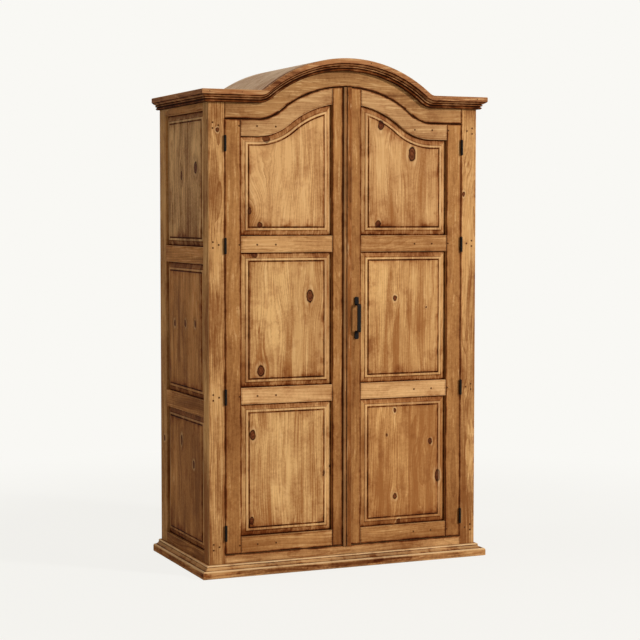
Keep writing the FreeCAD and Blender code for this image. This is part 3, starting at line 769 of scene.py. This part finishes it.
# Painted shadow along the gap under the arch and beside the doors.
round_arrises(bm, rail_arris, front_edges, at_gap=near_reveal)
stain_rims(bm, front_edges, near_reveal)
head_finish = pine("honey_head_rail", "xy", head_early, head_late,
                   knots=((-0.21, 1.915, 0.03, 0.006), (0.06, 1.925, 0.026, 0.006)))
add_wood(bm, "front_head_rail", "xy", "case", head_finish)

# Back, floor, shelves and cleats. Plain sawn pine, left unwaxed and a little pale: upright
# boards tongued together on the back rails, a boarded floor and two loose shelves.
plain_early = (205, 168, 120)
plain_late = (176, 134, 86)
board_arris = 0.0009
board_variety = 0.7
plain_pieces = {
    "back_boards": "zy",
    "back_head_rail": "xy",
    "back_bottom_rail": "xy",
    "floor_boards": "yz",
    "lower_shelf": "xz",
    "upper_shelf": "xz",
    "shelf_cleats": "yz",
}
tongue_reach = 0.004
tongue_half = 0.0015
tongue_short = 0.01


def add_tongues(bm, grain):
    """Closes the joints between the boards with tongues half way through their thickness."""
    along, depth, across = axes_of(grain)
    spans = sorted((span_of(group) for group in islands(bm)), key=lambda span: span[0][across])
    for (low, high), (next_low, next_high) in zip(spans, spans[1:]):
        near, far = Vector(), Vector()
        for axis in range(3):
            near[axis] = max(low[axis], next_low[axis]) + tongue_short
            far[axis] = min(high[axis], next_high[axis]) - tongue_short
        near[across], far[across] = high[across] - tongue_reach, next_low[across] + tongue_reach
        middle = (low[depth] + high[depth]) / 2
        near[depth], far[depth] = middle - tongue_half, middle + tongue_half
        size = Matrix.Diagonal((*(far - near), 1))
        bmesh.ops.create_cube(bm, size=1, matrix=Matrix.Translation((near + far) / 2) @ size)


plain_finishes = {}
for node, grain in plain_pieces.items():
    bm = copy_of(node)
    round_arrises(bm, board_arris, lambda edge: edge.calc_length() > board_arris * 12, 2)
    if node == "back_boards":
        add_tongues(bm, grain)
    if grain not in plain_finishes:
        plain_finishes[grain] = pine(f"plain_pine_{grain}", grain, plain_early, plain_late,
                                     varied=board_variety, waxed_and_shaded=False)
    add_wood(bm, node, grain, "case", plain_finishes[grain])

# Roof. A thin pale board bent over the arched head rails, unwaxed and dusty. Its grain runs
# with the curve.
roof_early = (216, 188, 158)
roof_late = (176, 136, 102)
roof_low, roof_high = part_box("roof")
roof_offset = roof_high.z - arch_rise - door_top
bm = arched_board(-half_width, half_width, roof_low.y, roof_high.y,
                  high_offset=roof_offset, low_offset=head_offset)
round_arrises(bm, board_arris, in_planes("y", (roof_low.y, roof_high.y)), 2)
roof_finish = pine("dusty_roof_pine", "xz", roof_early, roof_late, waxed_and_shaded=False)
add_wood(bm, "roof", "xz", "case", roof_finish)

# Cornice. A pine crown moulding worked with a round, a quirked bead, a full slope and a broad
# fillet, bent over the arch and mitred at the front corners, stained redder than the frame.
cornice_low, cornice_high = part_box("cornice_front")
cornice_height = cornice_high.z - arch_rise - cornice_low.z
cornice_foot = cornice_low.z
mitre_foot = (half_width, front_y, 0)
mitre_way = (1, 1, 0)
cornice_reach = front_y - cornice_low.y
cornice_ledge = 0.012
round_height = 0.009
round_swell = 0.0045
quirk_height = 0.0025
cornice_bead_height = 0.0065
cornice_bead_swell = 0.004
cornice_bead_reach = 0.0155
ogee_bulge = 0.0012
ogee_reach = 0.0315
ogee_drop = 0.0015
fillet_height = 0.019
fillet_round = 0.0022
moulding_early = (174, 118, 74)
moulding_late = (104, 58, 30)
swell_steps = 6


def swell(start, end, bulge, steps, wax_shade_ends, wax_shade_middle):
    """Points of a rounded stretch from start to end, bulging outward in the middle."""
    points = []
    for index in range(steps + 1):
        share = index / steps
        lift = bulge * math.sin(math.pi * share)
        held = wax_shade_middle + (wax_shade_ends - wax_shade_middle) * abs(math.cos(math.pi * share)) ** 3
        points.append((start[0] + (end[0] - start[0]) * share + lift,
                       start[1] + (end[1] - start[1]) * share, held))
    return points


def cornice_section():
    bead_foot = round_height + quirk_height
    bead_top = bead_foot + cornice_bead_height
    fillet_foot = cornice_height - fillet_height
    # Old wax and painted shade darken the low members that face down; the broad fillet has none.
    points = [(0.0, 0.0, 1.0)]
    points += swell((cornice_ledge, 0.0), (cornice_ledge, round_height), round_swell, swell_steps,
                    1.0, 0.55)
    points += [(cornice_ledge, round_height + quirk_height / 2, 1.0)]
    points += swell((cornice_bead_reach, bead_foot), (cornice_bead_reach, bead_top),
                    cornice_bead_swell, swell_steps, 1.0, 0.25)
    points += swell((cornice_bead_reach, bead_top), (ogee_reach, fillet_foot - ogee_drop),
                    ogee_bulge, swell_steps, 1.0, 0.25)[1:]
    points += [
        (cornice_reach - fillet_round / 3, fillet_foot, 0.8),
        (cornice_reach, fillet_foot + fillet_round / 3, 0.1),
        (cornice_reach, cornice_height / 2 + fillet_foot / 2, 0.0),
        (cornice_reach, cornice_height - fillet_round, 0.0),
        (cornice_reach - fillet_round / 3, cornice_height - fillet_round / 3, 0.0),
        (cornice_reach - fillet_round, cornice_height, 0.0),
        (0.0, cornice_height, 0.1),
    ]
    return points


def draw_section(bm, points, place):
    """Draws a closed loop of section points, each marked with the wax and painted light that it
    holds.
    """
    wax_and_painted_light = bm.verts.layers.float.new("wax_and_painted_light")
    corners = []
    for reach, height, held in points:
        corner = bm.verts.new(place(reach, height))
        corner[wax_and_painted_light] = held
        corners.append(corner)
    for first, second in zip(corners, corners[1:] + corners[:1]):
        bm.edges.new((first, second))


def drawn_out(bm, edges, way):
    grown = bmesh.ops.extrude_edge_only(bm, edges=edges)["geom"]
    bmesh.ops.translate(bm, verts=of_kind(bmesh.types.BMVert, grown), vec=way)


def close_ends(bm):
    bmesh.ops.holes_fill(bm, edges=[edge for edge in bm.edges if edge.is_boundary])
    bmesh.ops.recalc_face_normals(bm, faces=bm.faces[:])


def front_moulding(bm, node, finish):
    """Mitres the right half of a front moulding, mirrors it and closes its ends."""
    cut_at(bm, mitre_foot, mitre_way, clear_outer=True)
    bmesh.ops.mirror(bm, geom=everything(bm), axis="X", merge_dist=merge_gap)
    close_ends(bm)
    add_wood(bm, node, "xy", "case", finish)


def side_mouldings(name, points, foot, finish):
    """A moulding down each side, from the back edge forward to its mitre."""
    for side, sign in (("left", -1), ("right", 1)):
        bm = bmesh.new()
        draw_section(bm, points, lambda reach, height: (half_width + reach, back_y, foot + height))
        drawn_out(bm, bm.edges[:], (0, front_y - 2 * cornice_reach - back_y, 0))
        cut_at(bm, mitre_foot, mitre_way, clear_inner=True)
        close_ends(bm)
        if sign < 0:
            bmesh.ops.scale(bm, vec=(-1, 1, 1), verts=bm.verts[:])
            bmesh.ops.recalc_face_normals(bm, faces=bm.faces[:])
        add_wood(bm, name + side, "yx", "case", finish)


cornice_finish = pine("red_honey_cornice", "xy", moulding_early, moulding_late,
                      knots=((-0.47, 1.853, 0.006, 0.004), (0.30, 1.90, 0.01, 0.006)), depth=1.3)
side_cornice_finish = pine("red_honey_side_cornice", "yx", moulding_early, moulding_late)
bm = bmesh.new()
draw_section(bm, cornice_section(),
             lambda reach, height: (0, front_y - reach, cornice_foot + arch_rise + height))
turns = math.ceil(arch_angle / arc_turn)
edges = bm.edges[:]
for centre, angle in (((0, 0, crown_z), arch_angle), ((hollow_x, 0, hollow_z), -arch_angle)):
    edges = spun(bm, edges, centre, angle, turns)
drawn_out(bm, edges, (half_width + 2 * cornice_reach - hollow_x, 0, 0))
front_moulding(bm, "cornice_front", cornice_finish)
side_mouldings("cornice_", cornice_section(), cornice_foot, side_cornice_finish)

# Plinth. A pine base moulding with a bead, a cove, a quirk and a band with a rounded top,
# mitred round the foot of the case.
plinth_low, plinth_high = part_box("plinth_front")
plinth_height = plinth_high.z
plinth_reach = front_y - plinth_low.y
band_height = 0.030
band_round = 0.008
band_quirk = 0.0012
bead_ledge = 0.0015
cove_start = 0.026
cove_end = 0.0115
plinth_bead_height = 0.005
plinth_top_reach = 0.005
foot_round = 0.0015
plinth_steps = 5


def plinth_section():
    # Old wax and painted shade darken the quirk, the top of the cove, the bottom and the back top
    # edge; the band's round top, the bead and the bottom arris turn pale with wear and a painted
    # highlight.
    points = [(0.0, 0.0, 0.4), (plinth_reach - foot_round, 0.0, 0.6),
              (plinth_reach, foot_round, -0.4), (plinth_reach, band_height / 3, 0.25)]
    quarter = [math.pi / 2 * index / plinth_steps for index in range(plinth_steps + 1)]
    for turn in quarter:
        points.append((plinth_reach - band_round * (1 - math.cos(turn)),
                       band_height - band_round * (1 - math.sin(turn)),
                       0.25 - 1.5 * math.sin(turn)))
    points.append((cove_start + band_quirk, band_height - band_quirk / 2, 0.7))
    points.append((cove_start, band_height - band_quirk * 2 / 3, 1.0))
    cove_top = plinth_height - plinth_bead_height
    for turn in quarter[1:]:
        held = 0.8 if turn == quarter[-1] else 0.35 * (1 - turn / quarter[-1])
        points.append((cove_start - (cove_start - cove_end) * math.sin(turn),
                       band_height + (cove_top - band_height) * (1 - math.cos(turn)), held))
    bead_reach = cove_end + bead_ledge - plinth_top_reach
    for turn in quarter:
        points.append((plinth_top_reach + bead_reach * math.cos(turn),
                       cove_top + plinth_bead_height * math.sin(turn), -1.4 * math.cos(turn)))
    points.append((0.0, plinth_height, 0.9))
    return points


plinth_early = (204, 152, 96)
plinth_late = (122, 74, 38)
plinth_finish = pine("honey_plinth", "xy", plinth_early, plinth_late, depth=1.5, mottled=1.5)
side_plinth_finish = pine("honey_side_plinth", "yx", side_early, side_late)
bm = bmesh.new()
draw_section(bm, plinth_section(), lambda reach, height: (0, front_y - reach, height))
drawn_out(bm, bm.edges[:], (half_width + 2 * plinth_reach, 0, 0))
front_moulding(bm, "plinth_front", plinth_finish)
side_mouldings("plinth_", plinth_section(), 0.0, side_plinth_finish)

# Door frames. Each door has a hinge stile, a meeting stile that rises into the arch, three
# straight rails and an arched head rail, mortised together and waxed darker on the stiles.
door_back = stile_high.y
stile_early = (188, 134, 78)
stile_late = (122, 72, 34)
rail_early = (210, 160, 104)
rail_late = (152, 100, 54)
lower_rail_early = (226, 178, 122)
lower_rail_late = (172, 120, 70)
bottom_rail_early = (198, 146, 90)
bottom_rail_late = (142, 90, 46)
door_head_early = (196, 150, 100)
door_head_late = (138, 90, 50)
door_rail_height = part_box("left_door_bottom_rail")[1].z - door_bottom
stile_finish = pine("honey_stile", "zy", stile_early, stile_late, depth=0.6)
rail_finish = pine("honey_door_rail", "xy", rail_early, rail_late,
                   knots=((0.074, 1.263, 0.009, 0.007),))
lower_rail_finish = pine("honey_lower_rail", "xy", lower_rail_early, lower_rail_late)
bottom_rail_finish = pine("honey_bottom_rail", "xy", bottom_rail_early, bottom_rail_late)
door_head_finish = pine("honey_door_head", "xy", door_head_early, door_head_late)
door_planes = in_planes("y", (front_y, door_back))


def beside_hinges(edge):
    return all(abs(abs(v.co.x) - half_opening) < gap_reach for v in edge.verts)


def add_door_board(bm, door, place, grain, finish):
    """Rounds, stains, paints gap shadow on and closes a board of a door's frame, left crisp beside
    the hinges.
    """
    round_arrises(bm, rail_arris, lambda edge: door_planes(edge) and not beside_hinges(edge),
                  at_gap=near_reveal)
    round_arrises(bm, hinge_arris, lambda edge: door_planes(edge) and beside_hinges(edge), 2,
                  near_reveal)
    stain_rims(bm, front_edges, near_reveal)
    add_wood(bm, f"{door}_{place}", grain, door, finish)


for door, sign in (("left_door", -1), ("right_door", 1)):
    hinge_low, hinge_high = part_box(door + "_hinge_stile")
    meeting_low, meeting_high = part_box(door + "_meeting_stile")
    add_door_board(copy_of(door + "_hinge_stile"), door, "hinge_stile", "zy", stile_finish)
    bm = arched_board(meeting_low.x, meeting_high.x, front_y, door_back,
                      high_offset=0.0, foot=door_bottom)
    add_door_board(bm, door, "meeting_stile", "zy", stile_finish)
    for place, finish in (("bottom_rail", bottom_rail_finish), ("lower_rail", lower_rail_finish),
                          ("upper_rail", rail_finish)):
        add_door_board(copy_of(f"{door}_{place}"), door, place, "xy", finish)
    inner = (meeting_high.x, hinge_low.x) if sign > 0 else (hinge_high.x, meeting_low.x)
    bm = arched_board(*inner, front_y, door_back, high_offset=0.0, low_offset=-door_rail_height)
    add_door_board(bm, door, "head_rail", "xy", door_head_finish)

# Door panels. Six raised panels glued up from wide knotty boards: the top ones follow the
# arch of the head rail. They sit loose in the grooves, with dark wax and painted shade in the
# cut lines, and wear and a painted highlight on the beads.
panel_early = (227, 181, 120)
panel_late = (156, 100, 52)
panel_depth = 1.15
panel_ledge_stain_and_shade = 0.6
arch_steps = 22
panel_looks = {
    ("left_door", "bottom"): {
        "knots": ((-0.393, 0.541, 0.012, 0.018), (-0.398, 0.207, 0.009, 0.015),
                  (-0.094, 0.375, 0.005, 0.011), (-0.064, 0.401, 0.006, 0.006))},
    ("left_door", "middle"): {
        "joint": -0.229,
        "knots": ((-0.383, 1.236, 0.013, 0.012), (-0.154, 1.074, 0.014, 0.024),
                  (-0.359, 0.788, 0.014, 0.022)),
        "swirls": ((-0.30, 0.95, 0.02, 0.06),)},
    ("left_door", "top"): {
        "early": (222, 174, 116),
        "knots": ((-0.334, 1.680, 0.015, 0.014), (-0.362, 1.351, 0.010, 0.011),
                  (-0.187, 1.768, 0.002, 0.016), (-0.405, 1.405, 0.007, 0.013)),
        "swirls": ((-0.425, 1.420, 0.024, 0.03), (-0.34, 1.60, 0.03, 0.05))},
    ("right_door", "bottom"): {
        "early": (218, 166, 104), "joint": 0.276,
        "knots": ((0.215, 0.610, 0.006, 0.009), (0.180, 0.512, 0.004, 0.006),
                  (0.373, 0.477, 0.008, 0.011), (0.409, 0.336, 0.012, 0.024),
                  (0.216, 0.263, 0.009, 0.012), (0.234, 0.161, 0.008, 0.010))},
    ("right_door", "middle"): {
        "early": (226, 178, 116), "joint": 0.235,
        "knots": ((0.214, 1.059, 0.008, 0.011), (0.353, 1.020, 0.004, 0.004))},
    ("right_door", "top"): {
        "early": (212, 164, 108),
        "knots": ((0.151, 1.744, 0.013, 0.019), (0.288, 1.632, 0.015, 0.028),
                  (0.139, 1.354, 0.012, 0.014))},
}
for (door, place), look in panel_looks.items():
    node = f"{door}_{place}_panel"
    low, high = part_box(node)
    x0, x1 = low.x + groove_reach, high.x - groove_reach
    z0, z1 = low.z + groove_reach, high.z - groove_reach
    if place == "top":
        bm = bmesh.new()
        mould_panel(bm, lambda inset, y: arched_outline(
            bm, x0 + inset, x1 - inset, y, high_offset=-door_rail_height - inset,
            foot=z0 + inset, steps=arch_steps))
    else:
        bm = flat_panel(x0, x1, z0, z1)
    bmesh.ops.translate(bm, verts=bm.verts[:], vec=(0, front_y, 0))
    look = {"early": panel_early, "late": panel_late, **look}
    finish = pine(f"honey_{node}", "zy", depth=panel_depth, ledge_stain_and_shade=panel_ledge_stain_and_shade, **look)
    add_wood(bm, node, "zy", door, finish)

# Cover strip. A narrow pine strip with a bead and a vein, glued and nailed to the edge of
# the right door so that it covers the meeting line. It is the darkest wood on the front.
strip_early = (160, 100, 50)
strip_late = (104, 58, 24)
strip_low, strip_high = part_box("meeting_strip")
strip_bead = 0.011
strip_vein = 0.003
strip_vein_depth = 0.0025
strip_arris = 0.002
strip_steps = 8
crest = strip_low.y
vein_start = strip_low.x + strip_bead
vein_end = vein_start + strip_vein
vein_floor = crest + strip_vein_depth + strip_arris * 0.4
# Old wax and painted shade darken the vein and the sides where the strip meets the door.
points = [(strip_low.x, front_y, 0.6), (strip_low.x, crest + strip_bead / 2, 0.6)]
for index in range(1, strip_steps + 1):
    share = index / strip_steps
    fall = strip_bead / 2 * (1 - share) ** 2 + strip_vein_depth * max(0.0, share - 0.5) ** 2 * 4
    held = 0.8 if index == strip_steps else 0.05
    points.append((strip_low.x + strip_bead * share, crest + fall, held))
points += [
    (vein_start + strip_vein * 0.3, vein_floor, 1.0),
    (vein_start + strip_vein * 0.7, vein_floor, 1.0),
    (vein_end, crest + strip_vein_depth, 0.8),
    (vein_end + strip_arris * 0.4, crest + strip_arris * 0.4, 0.1),
    (vein_end + strip_arris, crest, 0.0),
    (strip_high.x - strip_arris, crest, 0.0),
    (strip_high.x - strip_arris * 0.3, crest + strip_arris * 0.3, 0.0),
    (strip_high.x, crest + strip_arris, 0.2),
    (strip_high.x, front_y, 0.9),
]
bm = bmesh.new()
draw_section(bm, points, lambda x, y: (x, y, strip_low.z))
strip_top = min(strip_high.z, arch_height(strip_high.x, 0.0))
drawn_out(bm, bm.edges[:], (0, 0, strip_top - strip_low.z))
close_ends(bm)
strip_finish = pine("dark_honey_strip", "zy", strip_early, strip_late)
add_wood(bm, "meeting_strip", "zy", "right_door", strip_finish)

# Pegs and nails. Small dark hardwood pegs in the joints of the front posts and at the hinge
# end of the door rails, cut off a hair proud of the wood, and the heads of the nails that
# hold the cornice and the cover strip.
peg_dark = (54, 28, 12)
peg_pale = (112, 68, 34)
peg_radius = 0.0039
nail_radius = 0.0022
peg_proud = 0.0003
peg_length = 0.006
peg_rows = (1.728, 1.275, 0.692, 0.115)
post_peg_spots = ((0.5555, 0.011), (0.532, 0.0), (0.5555, -0.011))
door_peg_spots = (0.448, 0.375, 0.298)
cornice_nail_spots = (-0.578, -0.448, -0.27, 0.09, 0.33, 0.56)
strip_nail_line = 0.004
strip_nail_rows = (1.855, 1.42, 0.56, 0.12)
peg_finish, place, shader = new_finish("dark_peg_ends")
pores = place.noise(1400.0, 2.0, 0.6)
wire(shader, {"Base Color": pores.step(0.35, 0.65).blend(tint(peg_dark), tint(peg_pale)),
              "Roughness": 0.62, "Specular IOR Level": 0.05, "Normal": pores.bump(0.4, 0.0003)})


def add_pegs(name, body, face_y, radius, places):
    bm = bmesh.new()
    for x, z in places:
        lie = Matrix.Translation((x, face_y - peg_proud + peg_length / 2, z))
        bmesh.ops.create_cone(bm, cap_ends=True, segments=14, radius1=radius, radius2=radius,
                              depth=peg_length, matrix=lie @ Matrix.Rotation(math.pi / 2, 4, "X"))
    round_arrises(bm, peg_proud * 0.8, in_planes("y", (face_y - peg_proud,)), 2)
    add_piece(bm, name, body, peg_finish)


add_pegs("post_pegs", "case", front_y, peg_radius,
         [(sign * x, z + up) for z in peg_rows for x, up in post_peg_spots for sign in (-1, 1)])
for door, sign in (("left_door", -1), ("right_door", 1)):
    add_pegs(door + "_pegs", door, front_y, peg_radius,
             [(sign * x, z) for z in peg_rows for x in door_peg_spots])
add_pegs("strip_nails", "right_door", strip_low.y, nail_radius,
         [(strip_nail_line, z) for z in strip_nail_rows])
nail_line = cornice_foot + cornice_height - fillet_height / 2 - door_top
add_pegs("cornice_nails", "case", cornice_low.y, nail_radius,
         [(x, arch_height(x, nail_line)) for x in cornice_nail_spots])

# Hinges and pull. Black painted iron, rubbed to bare grey on its edges: loose-joint butt
# hinges let into the stiles and posts, their pins, and a bow pull bent from flat strap.
iron_black = (15, 11, 8)
iron_bare = (58, 47, 37)
iron_rust = (34, 22, 16)
iron_arris = 0.0004
pull_arris = 0.0012
iron_finish, place, shader = new_finish("black_iron_paint")
beaten = place.noise(160.0, 3.0, 0.55)
grit = place.noise(900.0, 2.0)
lean = [abs(part) for part in place.node("TexCoord", output="Normal").split()]
flatness = lean[0].maths("MAXIMUM", lean[0], lean[1])
flatness = flatness.maths("MAXIMUM", flatness, lean[2])
pale_edges = flatness.step(0.96, 0.8) * beaten.step(0.42, 0.62)
colour = (beaten.step(0.56, 0.74) * 0.5).blend(tint(iron_black), tint(iron_rust))
colour = (pale_edges * 0.6).blend(colour, tint(iron_bare))
wire(shader, {"Base Color": colour, "Metallic": pale_edges * 0.6, "Roughness": 0.5 + beaten * 0.2,
              "Specular IOR Level": 0.12, "Normal": (beaten + grit * 0.2).bump(0.4, 0.0005)})
iron_pieces = {
    "hinge_post_leaves": "case",
    "hinge_pins": "case",
    "left_door_hinge_leaves": "left_door",
    "right_door_hinge_leaves": "right_door",
    "pull_handle": "right_door",
}
for node, body in iron_pieces.items():
    bm = copy_of(node)
    radius = pull_arris if node == "pull_handle" else iron_arris
    round_arrises(bm, radius, lambda edge: True, 2)
    add_piece(bm, node + "_iron", body, iron_finish, [node])

# Screws. Slotted steel screws, blackened with the rest, hold the hinge leaves in their
# recesses and the two feet of the pull.
screw_radius = 0.0033
screw_proud = 0.00035
screw_length = 0.004
screw_turn = 1.1
slot_half = 0.0004
hinge_rows = (0.166, 0.692, 1.271, 1.661)
hinge_line = 0.5065
leaf_face = 0.0005
leaf_screw_y = front_y + 0.0135
leaf_screw_steps = (-0.02, 0.0, 0.02)
shank = bmesh.new()
bmesh.ops.create_cone(shank, cap_ends=True, segments=16, radius1=screw_radius,
                      radius2=screw_radius, depth=screw_length)
for slot_side in (-slot_half, slot_half):
    cut_at(shank, (slot_side, 0, 0), (1, 0, 0))
slot_faces = [face for face in shank.faces
              if face.normal.z > 0.9 and abs(face.calc_center_median().x) < slot_half]
sunk = bmesh.ops.extrude_face_region(shank, geom=slot_faces)["geom"]
bmesh.ops.translate(shank, verts=of_kind(bmesh.types.BMVert, sunk), vec=(0, 0, -screw_proud))
bmesh.ops.delete(shank, geom=slot_faces, context="FACES_ONLY")
bmesh.ops.recalc_face_normals(shank, faces=shank.faces[:])
screw_shape = bpy.data.meshes.new("screw_shape")
shank.to_mesh(screw_shape)
shank.free()


def add_screws(name, body, places):
    """Screws with their heads at these places, each turned to face the way given."""
    bm = bmesh.new()
    for index, (place, way) in enumerate(places):
        known = set(bm.verts)
        bm.from_mesh(screw_shape)
        face_way = Vector(way).to_track_quat("Z", "Y").to_matrix().to_4x4()
        turned = Matrix.Rotation(index * screw_turn, 4, "Z")
        sink = Matrix.Translation((0, 0, screw_proud - screw_length / 2))
        bmesh.ops.transform(bm, matrix=Matrix.Translation(place) @ face_way @ turned @ sink,
                            verts=[v for v in bm.verts if v not in known])
    add_piece(bm, name, body, iron_finish)


def leaf_screws(sign, leaf_way):
    return [((sign * (hinge_line + leaf_way * leaf_face), leaf_screw_y, row + step),
             (-sign * leaf_way, 0, 0)) for row in hinge_rows for step in leaf_screw_steps]


add_screws("post_leaf_screws", "case", leaf_screws(-1, 1) + leaf_screws(1, 1))
add_screws("left_door_leaf_screws", "left_door", leaf_screws(-1, -1))
pull_low, pull_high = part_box("pull_handle")
pull_middle = (pull_low.x + pull_high.x) / 2
pad_front = front_y - 0.006
pad_reach = 0.013
add_screws("right_door_screws", "right_door", leaf_screws(1, -1) + [
    ((pull_middle, pad_front, z), (0, -1, 0))
    for z in (pull_low.z + pad_reach, pull_high.z - pad_reach)])

# Catches. Magnetic catches in brown moulded cases under the upper shelf, and plated strike
# plates on the backs of the doors.
catch_dark = (86, 60, 42)
catch_pale = (104, 76, 54)
plate_dark = (176, 174, 168)
plate_pale = (206, 204, 198)
catch_finish, place, shader = new_finish("brown_catch_case")
speckle = place.noise(700.0, 2.0)
wire(shader, {"Base Color": speckle.blend(tint(catch_dark), tint(catch_pale)),
              "Roughness": 0.4 + speckle * 0.15, "Specular IOR Level": 0.3})
plate_finish, place, shader = new_finish("plated_strike")
brushed = place.noise(500.0, 3.0)
wire(shader, {"Base Color": brushed.blend(tint(plate_dark), tint(plate_pale)),
              "Metallic": 0.95, "Roughness": 0.26 + brushed * 0.2})
for node, body, finish, slot in (
        ("door_catches", "case", catch_finish, "catch_plastic"),
        ("left_door_strike_plate", "left_door", plate_finish, "plated_steel"),
        ("right_door_strike_plate", "right_door", plate_finish, "plated_steel")):
    bm = copy_of(node)
    round_arrises(bm, iron_arris, lambda edge: True, 2)
    add_piece(bm, node + "_fitting", body, finish, [node])

# Studio. A pale floor that takes a soft shadow, a key lamp high on the right, a faint lamp
# over the roof, and the photograph's viewing angle.
paper = (249, 248, 244)
floor_grey = (0.86, 0.86, 0.85, 1)
ambient = (0.25, 0.215, 0.165, 1)
floor_radius = 40.0
shadow_reach = 1.4
fade_reach = 3.2
floor_share = 0.12
bpy.ops.mesh.primitive_circle_add(vertices=64, radius=floor_radius, fill_type="NGON")
floor = bpy.context.object
floor.name = "studio_floor"
floor_finish, place, shader = new_finish("studio_paper")
wire(shader, {"Base Color": floor_grey, "Roughness": 0.9})
away = place.vector("LENGTH", place, output="Value")
flat_white = away.step(shadow_reach, fade_reach) * floor_share + (1 - floor_share)
seen = place.node("LightPath", output="Is Camera Ray")
glow = place.node("Emission", None, {"Color": tint(paper), "Strength": 1.0})
lit = Shade(place.tree, shader.outputs[0])
both = place.node("MixShader", None, {0: seen * flat_white, 1: lit, 2: glow})
tree = place.tree
tree.links.new(both.socket, tree.nodes["Material Output"].inputs["Surface"])
floor.data.materials.append(floor_finish)

world = bpy.data.worlds.new("studio_world")
bpy.context.scene.world = world
world.use_nodes = True
tree = world.node_tree
ray = [Shade(tree).node("LightPath", output=name) for name in
       ("Is Camera Ray", "Is Glossy Ray", "Is Transmission Ray")]
shown = ray[0].maths("MAXIMUM", ray[0], ray[1].maths("MAXIMUM", ray[1], ray[2]))
sky = shown.blend(ambient, tint(paper))
tree.links.new(sky.socket, tree.nodes["Background"].inputs["Color"])


def lamp(name, place, target, size, power):
    light = bpy.data.lights.new(name, "AREA")
    light.shape = "DISK"
    light.size = size
    light.energy = power
    holder = bpy.data.objects.new(name, light)
    holder.location = place
    holder.rotation_euler = (Vector(target) - Vector(place)).to_track_quat("-Z", "Y").to_euler()
    bpy.context.scene.collection.objects.link(holder)


lamp("key_lamp", place=(6.9, -7.5, 5.05), target=(0, 0, 1.0), size=1.35, power=900)
lamp("roof_lamp", place=(-1.5, 0.5, 5.5), target=(0, 0, 1.5), size=2.0, power=50)

view = bpy.data.cameras.new("photo_view")
view.sensor_width = 36
view.lens = 95.59
view.shift_x = -0.0144
view.shift_y = -0.01125
camera = bpy.data.objects.new("photo_view", view)
camera.location = (-2.728, -6.371, 1.390)
camera.rotation_euler = (math.radians(90 - 3.3), math.radians(-0.056), math.radians(-23.537))
bpy.context.scene.collection.objects.link(camera)
bpy.context.scene.camera = camera
bpy.context.scene.view_settings.view_transform = "Standard"
